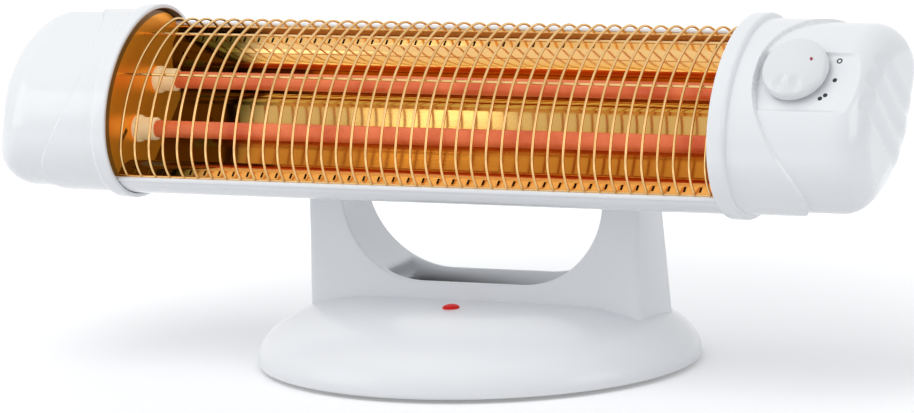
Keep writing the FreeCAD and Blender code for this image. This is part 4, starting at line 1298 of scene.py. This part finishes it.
@dataclass
class StandColumn:
    """Tapered column whose two pillars and foot run round a bowl-shaped window."""

    head: Head
    half_width: float = 106.7 * MM
    centre_y: float = 17.0 * MM
    foot_depth: float = 24.9 * MM
    top_depth: float = 12.4 * MM
    foot_z: float = 5.5 * MM
    top_z: float = 132.0 * MM
    edge: float = 3.0 * MM
    window_edge: float = 1.2 * MM
    floor_z: float = 45.6 * MM
    flat_half: float = 32.0 * MM
    curve_width: float = 52.0 * MM
    curve_height: float = 50.0 * MM
    hollow_depth: float = 9.6 * MM
    hollow_wall: float = 3.0 * MM
    hollow_reach: float = 7.0 * MM
    hollow_ease: float = 6.5 * MM
    hollow_steps: tuple[tuple[float, float], ...] = (
        (0.0, 0.0), (0.03, 0.06), (0.07, 0.3), (0.11, 0.7), (0.16, 0.94), (0.22, 1.0), (0.45, 1.0),
    )
    painted_shade_middle: float = 0.7
    painted_shade_fall: float = 0.3
    saddle_gap: float = 0.3 * MM
    face_shares: tuple[float, float] = (0.12, 0.8)
    face_points: int = 8
    corner_points: int = 6
    pillar_rows: int = 23
    curve_rows: int = 40
    flat_rows: int = 18

    def depth_at(self, z: Array) -> Array:
        """Half depth of the tapered column at a height."""
        share = (z - self.foot_z) / (self.top_z - self.foot_z)
        return self.foot_depth + (self.top_depth - self.foot_depth) * share

    def saddle(self, y: Array) -> Array:
        """Height of the head's lower side, by solving the tilted oval for it, at most the column's top.

        Args:
            y: depths in the shared frame.

        Returns:
            Heights in the shared frame.
        """
        c, s = math.cos(math.radians(self.head.tilt)), math.sin(math.radians(self.head.tilt))
        a, b = self.head.half_depth + self.saddle_gap, self.head.half_height + self.saddle_gap
        away = y - self.head.axis_y
        qa = s * s / a ** 2 + c * c / b ** 2
        qb = away * s * c * (1.0 / b ** 2 - 1.0 / a ** 2)
        qc = away ** 2 * (c * c / a ** 2 + s * s / b ** 2) - 1.0
        root = np.maximum(qb ** 2 - qa * qc, 0.0)
        under = self.head.axis_z + (-qb - np.sqrt(root)) / qa
        return np.where(qb ** 2 > qa * qc, np.minimum(under, self.top_z), self.top_z)

    def lines(self) -> tuple[Array, Array, Array, Array, Array]:
        """Window edge and outline of the column, from the right pillar's top to the left one's.

        The window's edge runs down a quarter ellipse, along the flat sill and up its mirror image. The
        outline runs down the column's side, along its foot and up again.

        Returns:
            Places along X and heights of the inner line and of the outer one, and the share by which a
            row follows the head's lower side.
        """
        pillar, flat = self.pillar_rows, self.flat_rows
        bend = np.linspace(0.0, math.pi / 2, self.curve_rows)
        turn_z = self.floor_z + self.curve_height
        curve_x = self.flat_half + self.curve_width * np.cos(bend)
        curve_z = turn_z - self.curve_height * np.sin(bend)
        flat_x = np.linspace(self.flat_half, -self.flat_half, flat + 2)[1:-1]
        fall = turn_z + (self.foot_z - turn_z) * np.linspace(0.0, 1.0, self.curve_rows + 1)[1:]
        upright, level = np.full(pillar, turn_z), np.ones(flat)
        rise = np.linspace(1.0, 0.0, pillar + 1)[:-1]

        def mirrored(half: list[Array], middle: Array, sign: float = 1.0) -> Array:
            """Right half, middle and the right half again, backwards and with a sign."""
            right = np.concatenate(half)
            return np.concatenate([right, middle, sign * right[::-1]])

        foot_x = np.linspace(self.half_width, -self.half_width, flat)
        return (
            mirrored([np.full(pillar, curve_x[0]), curve_x], flat_x, -1.0),
            mirrored([upright, curve_z], level * self.floor_z),
            mirrored([np.full(pillar + self.curve_rows, self.half_width)], foot_x, -1.0),
            mirrored([upright, fall], level * self.foot_z),
            mirrored([rise, np.zeros(self.curve_rows)], np.zeros(flat)),
        )

    def build(self) -> bpy.types.Object:
        """Carry a rounded four-sided section round the window from one pillar's top to the other's.

        The inner line is the window's edge, the outer line the column's outline; each section runs from
        the inner line to the outer one on the front, and back on the rear.

        Returns:
            The column.
        """
        inner_x, inner_z, outer_x, outer_z, lift = self.lines()
        side, share, inset, hollow = self.section().T
        sunk = smooth_step((self.floor_z + self.hollow_reach - inner_z) / self.hollow_ease)
        turn_z = self.floor_z + self.curve_height
        across = share[None, :] + hollow[None, :] * sunk[:, None]
        x = inner_x[:, None] * (1 - across) + outer_x[:, None] * across
        z = inner_z[:, None] * (1 - across) + outer_z[:, None] * across
        y = self.centre_y + side[None, :] * (self.depth_at(z) - inset[None, :])
        for _ in range(2):
            lifted = z + lift[:, None] * (self.saddle(y) - turn_z)
            y = self.centre_y + side[None, :] * (self.depth_at(lifted) - inset[None, :])
        piece = ring_surface("windowed_column", np.stack([x, y, lifted], axis=-1))
        Finishes.STAND.dress(piece)
        self.paint_hollow_shade(piece)
        return mount(piece, "stand_column")

    def paint_hollow_shade(self, piece: bpy.types.Object) -> None:
        """Paint shade into the sill's hollow by depth, more towards the left, in an attribute of the
        vertices.

        Args:
            piece: the column.
        """
        vertices = piece.data.vertices
        places = np.empty(len(vertices) * 3)
        vertices.foreach_get("co", places)
        x, y, z = places.reshape(-1, 3).T
        inside = np.abs(y - self.centre_y) < self.depth_at(z) - self.hollow_wall / 2
        inside &= np.abs(x) < self.flat_half + self.curve_width / 2
        depth = np.clip((self.floor_z - z) / self.hollow_depth, 0.0, 1.0)
        shade = np.clip(self.painted_shade_middle - self.painted_shade_fall * x / self.flat_half, 0.0, 1.0)
        layer = piece.data.attributes.new("hollow", "FLOAT", "POINT")
        layer.data.foreach_set("value", inside * depth * shade)

    def section(self) -> Array:
        """Points of the section: side of the column, share from inner to outer line, inset and hollow.

        The hollow is the share by which the window's sill sinks between the front and rear walls.

        Returns:
            Rows of side, share, inset and hollow.
        """
        pillar = self.half_width - self.flat_half - self.curve_width
        inner, outer = self.window_edge, self.edge
        bend = np.linspace(0.0, math.pi / 2, self.corner_points)
        front = [(-1.0, inner * (1 - math.sin(a)) / pillar, inner * (1 - math.cos(a))) for a in bend[::-1]]
        front += [(-1.0, share, 0.0) for share in np.linspace(*self.face_shares, self.face_points)]
        front += [(-1.0, 1.0 - outer * (1 - math.sin(a)) / pillar, outer * (1 - math.cos(a))) for a in bend]
        front = [(side, min(max(share, 0.0), 1.0), inset) for side, share, inset in front]
        back = [(1.0, share, inset) for _, share, inset in front[::-1]]
        deep = self.hollow_depth / (self.floor_z - self.foot_z)
        wall = 1.0 - self.hollow_wall / self.foot_depth
        sill = [(wall - step, 0.0, 0.0, deep * sink) for step, sink in self.hollow_steps]
        sill += [(-side, share, inset, sink) for side, share, inset, sink in sill[::-1]]
        return np.array([(*row, 0.0) for row in front + back] + sill)


@dataclass
class Base:
    """Domed base cover with the pilot lens on its crown."""

    half_length: float = 132.8 * MM
    half_width: float = 108.4 * MM
    top_z: float = 35.5 * MM
    edge_z: float = 4.5 * MM
    lip_z: float = 2.6 * MM
    crown: float = 62.0 * MM
    wall: float = 2.6 * MM
    lamp: tuple[float, float] = (-3.0 * MM, -24.0 * MM)
    lens_radius: float = 5.0 * MM
    lens_height: float = 2.2 * MM
    shank_radius: float = 4.0 * MM
    shank_length: float = 9.0 * MM
    lip_ease: float = 0.5 * MM
    crown_points: int = 13
    outer_points: int = 60
    inner_points: int = 24
    lens_points: int = 16
    cover_columns: int = 200
    lens_columns: int = 48

    def profile(self, inset: float, count: int) -> Array:
        """Half outline of the cover: flat crown, then an elliptical fall to the edge.

        Args:
            inset: wall thickness taken off.
            count: points on the fall.

        Returns:
            Rows of reach and height from the middle outwards.
        """
        reach, top = self.half_length - inset, self.top_z - inset
        turn = np.linspace(math.pi / 2, 0.0, count)
        fall_x = self.crown + (reach - self.crown) * np.cos(turn)
        fall_z = self.edge_z + (top - self.edge_z) * np.sin(turn)
        flat = np.linspace(0.0, self.crown, self.crown_points + 1)[:-1]
        level = np.stack([flat, np.full_like(flat, top)], axis=-1)
        return np.concatenate([level, np.stack([fall_x, fall_z], axis=-1)])

    def cover(self) -> bpy.types.Object:
        """Turned outline squeezed to an oval in plan, with its inner side a wall's thickness below.

        Returns:
            The cover.
        """
        outside = self.profile(0.0, self.outer_points)
        reach, e = self.half_length, self.lip_ease
        lip = np.array([[reach, self.lip_z + e], [reach - e, self.lip_z], [reach - self.wall, self.lip_z]])
        inside = self.profile(self.wall, self.inner_points)[::-1]
        rings = revolve(np.concatenate([outside, lip, inside]), self.cover_columns)
        rings[..., 1] *= self.half_width / self.half_length
        piece = ring_surface("domed_cover", rings)
        Finishes.STAND.dress(piece)
        return mount(piece, "base_cover")

    def lens(self) -> bpy.types.Object:
        """Red dome: a quarter ellipse turned about its axis, on a short shank.

        Returns:
            The lens.
        """
        turn = np.linspace(math.pi / 2, 0.0, self.lens_points)
        dome = np.stack([self.lens_radius * np.cos(turn), self.lens_height * np.sin(turn)], axis=-1)
        radius, foot = self.shank_radius, -self.shank_length
        shank = np.array([[self.lens_radius, 0.0], [radius, 0.0], [radius, foot], [0.0, foot]])
        rings = revolve(np.concatenate([dome, shank]), self.lens_columns)
        rings = rings + np.array([*self.lamp, self.top_z + SEAT_GAP])
        piece = ring_surface("pilot_lens", rings)
        Finishes.LENS.dress(piece)
        return mount(piece, "indicator_lens")


class InnerPieces:
    """Construction pieces that keep their solid and only get a finish."""

    FINISH_BY_SLOT = {
        "white_shell": Finishes.SHELL, "white_caps": Finishes.CAP, "white_stand": Finishes.STAND,
        "white_knob": Finishes.KNOB, "polished_reflector": Finishes.REFLECTOR, "end_plates": Finishes.PLATE,
        "guard_wire": Finishes.WIRE, "quartz": Finishes.TUBE, "winding": Finishes.WINDING,
        "ceramic": Finishes.CERAMIC, "terminal": Finishes.STEEL, "steel": Finishes.STEEL,
        "black_plastic": Finishes.BLACK, "pale_plastic": Finishes.PALE, "bottom_plate": Finishes.BOTTOM,
        "rubber": Finishes.RUBBER, "red_lens": Finishes.LENS, "lamp_glass": Finishes.LAMP,
    }

    def dress(self) -> int:
        """Give every node of the frame the finish of its slot.

        Returns:
            Number of nodes dressed.
        """
        count = 0
        for part in frame["record"]["subparts"]:
            node = frame["nodes"].get(part["node"])
            if node is not None:
                self.FINISH_BY_SLOT[part["material_slot"]].dress(node)
                count += 1
        return count


@dataclass
class Studio:
    """White floor and backdrop, soft lamps and the camera at the photograph's angle."""

    image_width: int = 914
    azimuth: float = 28.46
    elevation: float = 10.70
    roll: float = 3.62
    focal_pixels: float = 4500.0
    distance: float = 2.57839
    target: tuple[float, float, float] = (-0.00797, 0.0, 0.08958)
    sensor: float = 36.0
    clip_end: float = 50.0
    floor_half: float = 6.0
    floor_colour: Colour = (0.82, 0.82, 0.83)
    floor_roughness: float = 0.9
    sky_colour: Colour = (0.95, 0.975, 1.0)
    sky_strength: float = 0.58
    floor_glow: tuple[float, float] = (0.24, 0.7)
    shadow_reach: tuple[float, float] = (0.2, 0.6)
    lamps: tuple[tuple[str, tuple[float, float, float], tuple[float, float], float, bool], ...] = (
        ("top_softbox", (-0.5, -0.9, 2.0), (1.8, 1.8), 17.5, False),
        ("left_softbox", (-1.9, -1.4, 0.9), (1.4, 1.4), 6.5, True),
        ("right_softbox", (2.0, -0.7, 0.9), (1.0, 1.0), 5.0, True),
        ("overhead_strip", (-1.029, -0.219, 2.0), (0.04, 0.14), 0.045, True),
    )

    def axes(self) -> tuple[Array, Array, Array]:
        """Right, up and backward directions of the camera.

        Returns:
            Three unit vectors.
        """
        a, e, r = (math.radians(v) for v in (self.azimuth, self.elevation, self.roll))
        back = np.array([math.sin(a) * math.cos(e), -math.cos(a) * math.cos(e), math.sin(e)])
        right = np.array([math.cos(a), math.sin(a), 0.0])
        up = np.cross(back, right)
        return math.cos(r) * right - math.sin(r) * up, math.sin(r) * right + math.cos(r) * up, back

    def camera(self) -> bpy.types.Object:
        """Long-lens camera, from the focal length in pixels of the image.

        Returns:
            The camera.
        """
        data = bpy.data.cameras.new("camera")
        data.sensor_width = self.sensor
        data.lens = self.sensor * self.focal_pixels / self.image_width
        data.clip_end = self.clip_end
        made = bpy.data.objects.new("camera", data)
        right, up, back = self.axes()
        matrix = np.eye(4)
        place = np.array(self.target) + back * self.distance
        matrix[:3, :] = np.stack([right, up, back, place], axis=-1)
        made.matrix_world = Matrix(matrix.tolist())
        bpy.context.scene.collection.objects.link(made)
        bpy.context.scene.camera = made
        return made

    def seen_rays(self, tree: bpy.types.NodeTree) -> bpy.types.NodeSocket:
        """Socket that is one on rays from the camera, straight, mirrored or through glass.

        Args:
            tree: nodes of the floor or the world.

        Returns:
            Largest of the three outputs of Light Path.
        """
        path = tree.nodes.new("ShaderNodeLightPath")
        found = path.outputs["Is Camera Ray"]
        for ray in ("Is Glossy Ray", "Is Transmission Ray"):
            larger = tree.nodes.new("ShaderNodeMath")
            larger.operation = "MAXIMUM"
            tree.links.new(found, larger.inputs[0])
            tree.links.new(path.outputs[ray], larger.inputs[1])
            found = larger.outputs["Value"]
        return found

    def floor(self) -> bpy.types.Object:
        """Wide pale floor that keeps the object's shadow and eases to white further out.

        Returns:
            The floor.
        """
        h = self.floor_half
        corners = np.array([[-h, -h, 0.0], [h, -h, 0.0], [h, h, 0.0], [-h, h, 0.0]])
        piece = add_object("floor", corners, [[0, 1, 2, 3]])
        made = bpy.data.materials.new("pale_floor")
        made.use_nodes = True
        tree = made.node_tree
        shader = tree.nodes["Principled BSDF"]
        shader.inputs["Base Color"].default_value = (*self.floor_colour, 1.0)
        shader.inputs["Roughness"].default_value = self.floor_roughness
        shader.inputs["Specular IOR Level"].default_value = 0.0
        place = tree.nodes.new("ShaderNodeTexCoord")
        away = tree.nodes.new("ShaderNodeVectorMath")
        away.operation = "LENGTH"
        fade = tree.nodes.new("ShaderNodeMapRange")
        fade.interpolation_type = "SMOOTHSTEP"
        fade.inputs["From Min"].default_value = self.shadow_reach[0]
        fade.inputs["From Max"].default_value = self.shadow_reach[1]
        fade.inputs["To Min"].default_value = self.floor_glow[0]
        fade.inputs["To Max"].default_value = self.floor_glow[1]
        strength = tree.nodes.new("ShaderNodeMath")
        strength.operation = "MULTIPLY"
        tree.links.new(place.outputs["Object"], away.inputs[0])
        tree.links.new(away.outputs["Value"], fade.inputs["Value"])
        tree.links.new(self.seen_rays(tree), strength.inputs[0])
        tree.links.new(fade.outputs["Result"], strength.inputs[1])
        tree.links.new(strength.outputs["Value"], shader.inputs["Emission Strength"])
        shader.inputs["Emission Color"].default_value = (1.0, 1.0, 1.0, 1.0)
        piece.data.materials.append(made)
        return piece

    def world(self) -> None:
        """Even grey-white light all round, plain white to the camera, mirrored or through glass too."""
        world = bpy.data.worlds.new("studio")
        bpy.context.scene.world = world
        world.use_nodes = True
        tree = world.node_tree
        shade = tree.nodes["Background"]
        shade.inputs["Color"].default_value = (*self.sky_colour, 1.0)
        shade.inputs["Strength"].default_value = self.sky_strength
        white = tree.nodes.new("ShaderNodeBackground")
        white.inputs["Color"].default_value = (1.0, 1.0, 1.0, 1.0)
        mix = tree.nodes.new("ShaderNodeMixShader")
        tree.links.new(self.seen_rays(tree), mix.inputs["Fac"])
        tree.links.new(shade.outputs["Background"], mix.inputs[1])
        tree.links.new(white.outputs["Background"], mix.inputs[2])
        tree.links.new(mix.outputs["Shader"], tree.nodes["World Output"].inputs["Surface"])

    def light(self) -> None:
        """Soft lamps, each turned to the middle of the heater; some stay out of reflections."""
        for name, place, size, power, mirrored in self.lamps:
            data = bpy.data.lights.new(name, "AREA")
            data.shape = "RECTANGLE"
            data.size, data.size_y = size
            data.energy = power
            lamp = bpy.data.objects.new(name, data)
            lamp.visible_glossy = mirrored
            back = np.array(place) - np.array(self.target)
            back /= np.linalg.norm(back)
            right = np.cross([0.0, 0.0, 1.0], back)
            right /= np.linalg.norm(right)
            matrix = np.eye(4)
            matrix[:3, :] = np.stack([right, np.cross(back, right), back, place], axis=-1)
            lamp.matrix_world = Matrix(matrix.tolist())
            bpy.context.scene.collection.objects.link(lamp)

    def build(self) -> None:
        """Set up the whole studio."""
        bpy.context.scene.view_settings.view_transform = "Standard"
        self.world()
        self.floor()
        self.light()
        self.camera()


def main() -> None:
    """Build every sub-assembly in order and report its pieces."""
    logging.basicConfig(level=logging.INFO, format="%(name)s: %(message)s")
    head = Head()
    control = ControlPlace(head)
    LOG.info("dressed %d construction pieces", InnerPieces().dress())
    trough, guard, base = Trough(head), Guard(head), Base()
    knob, column = ControlKnob(control), StandColumn(head)
    tubes = [HeatingTube(head, "upper", head.tube_rise), HeatingTube(head, "lower", -head.tube_rise)]
    makers: list[Callable[[], object]] = [EndCap(head, control, side).build for side in Side]
    makers += [trough.shell, trough.reflector, guard.hoops, guard.rails, column.build, base.cover, base.lens]
    makers += [knob.knob, knob.pointer, knob.dial]
    for tube in tubes:
        makers.append(tube.tube)
        makers += [lambda tube=tube, side=side: tube.cup(side) for side in Side]
    for maker in makers:
        made = maker()
        for piece in made if isinstance(made, list) else [made]:
            LOG.info("%s: %d faces", piece.name, len(piece.data.polygons))
    Studio().build()


if __name__ == "__main__":
    main()
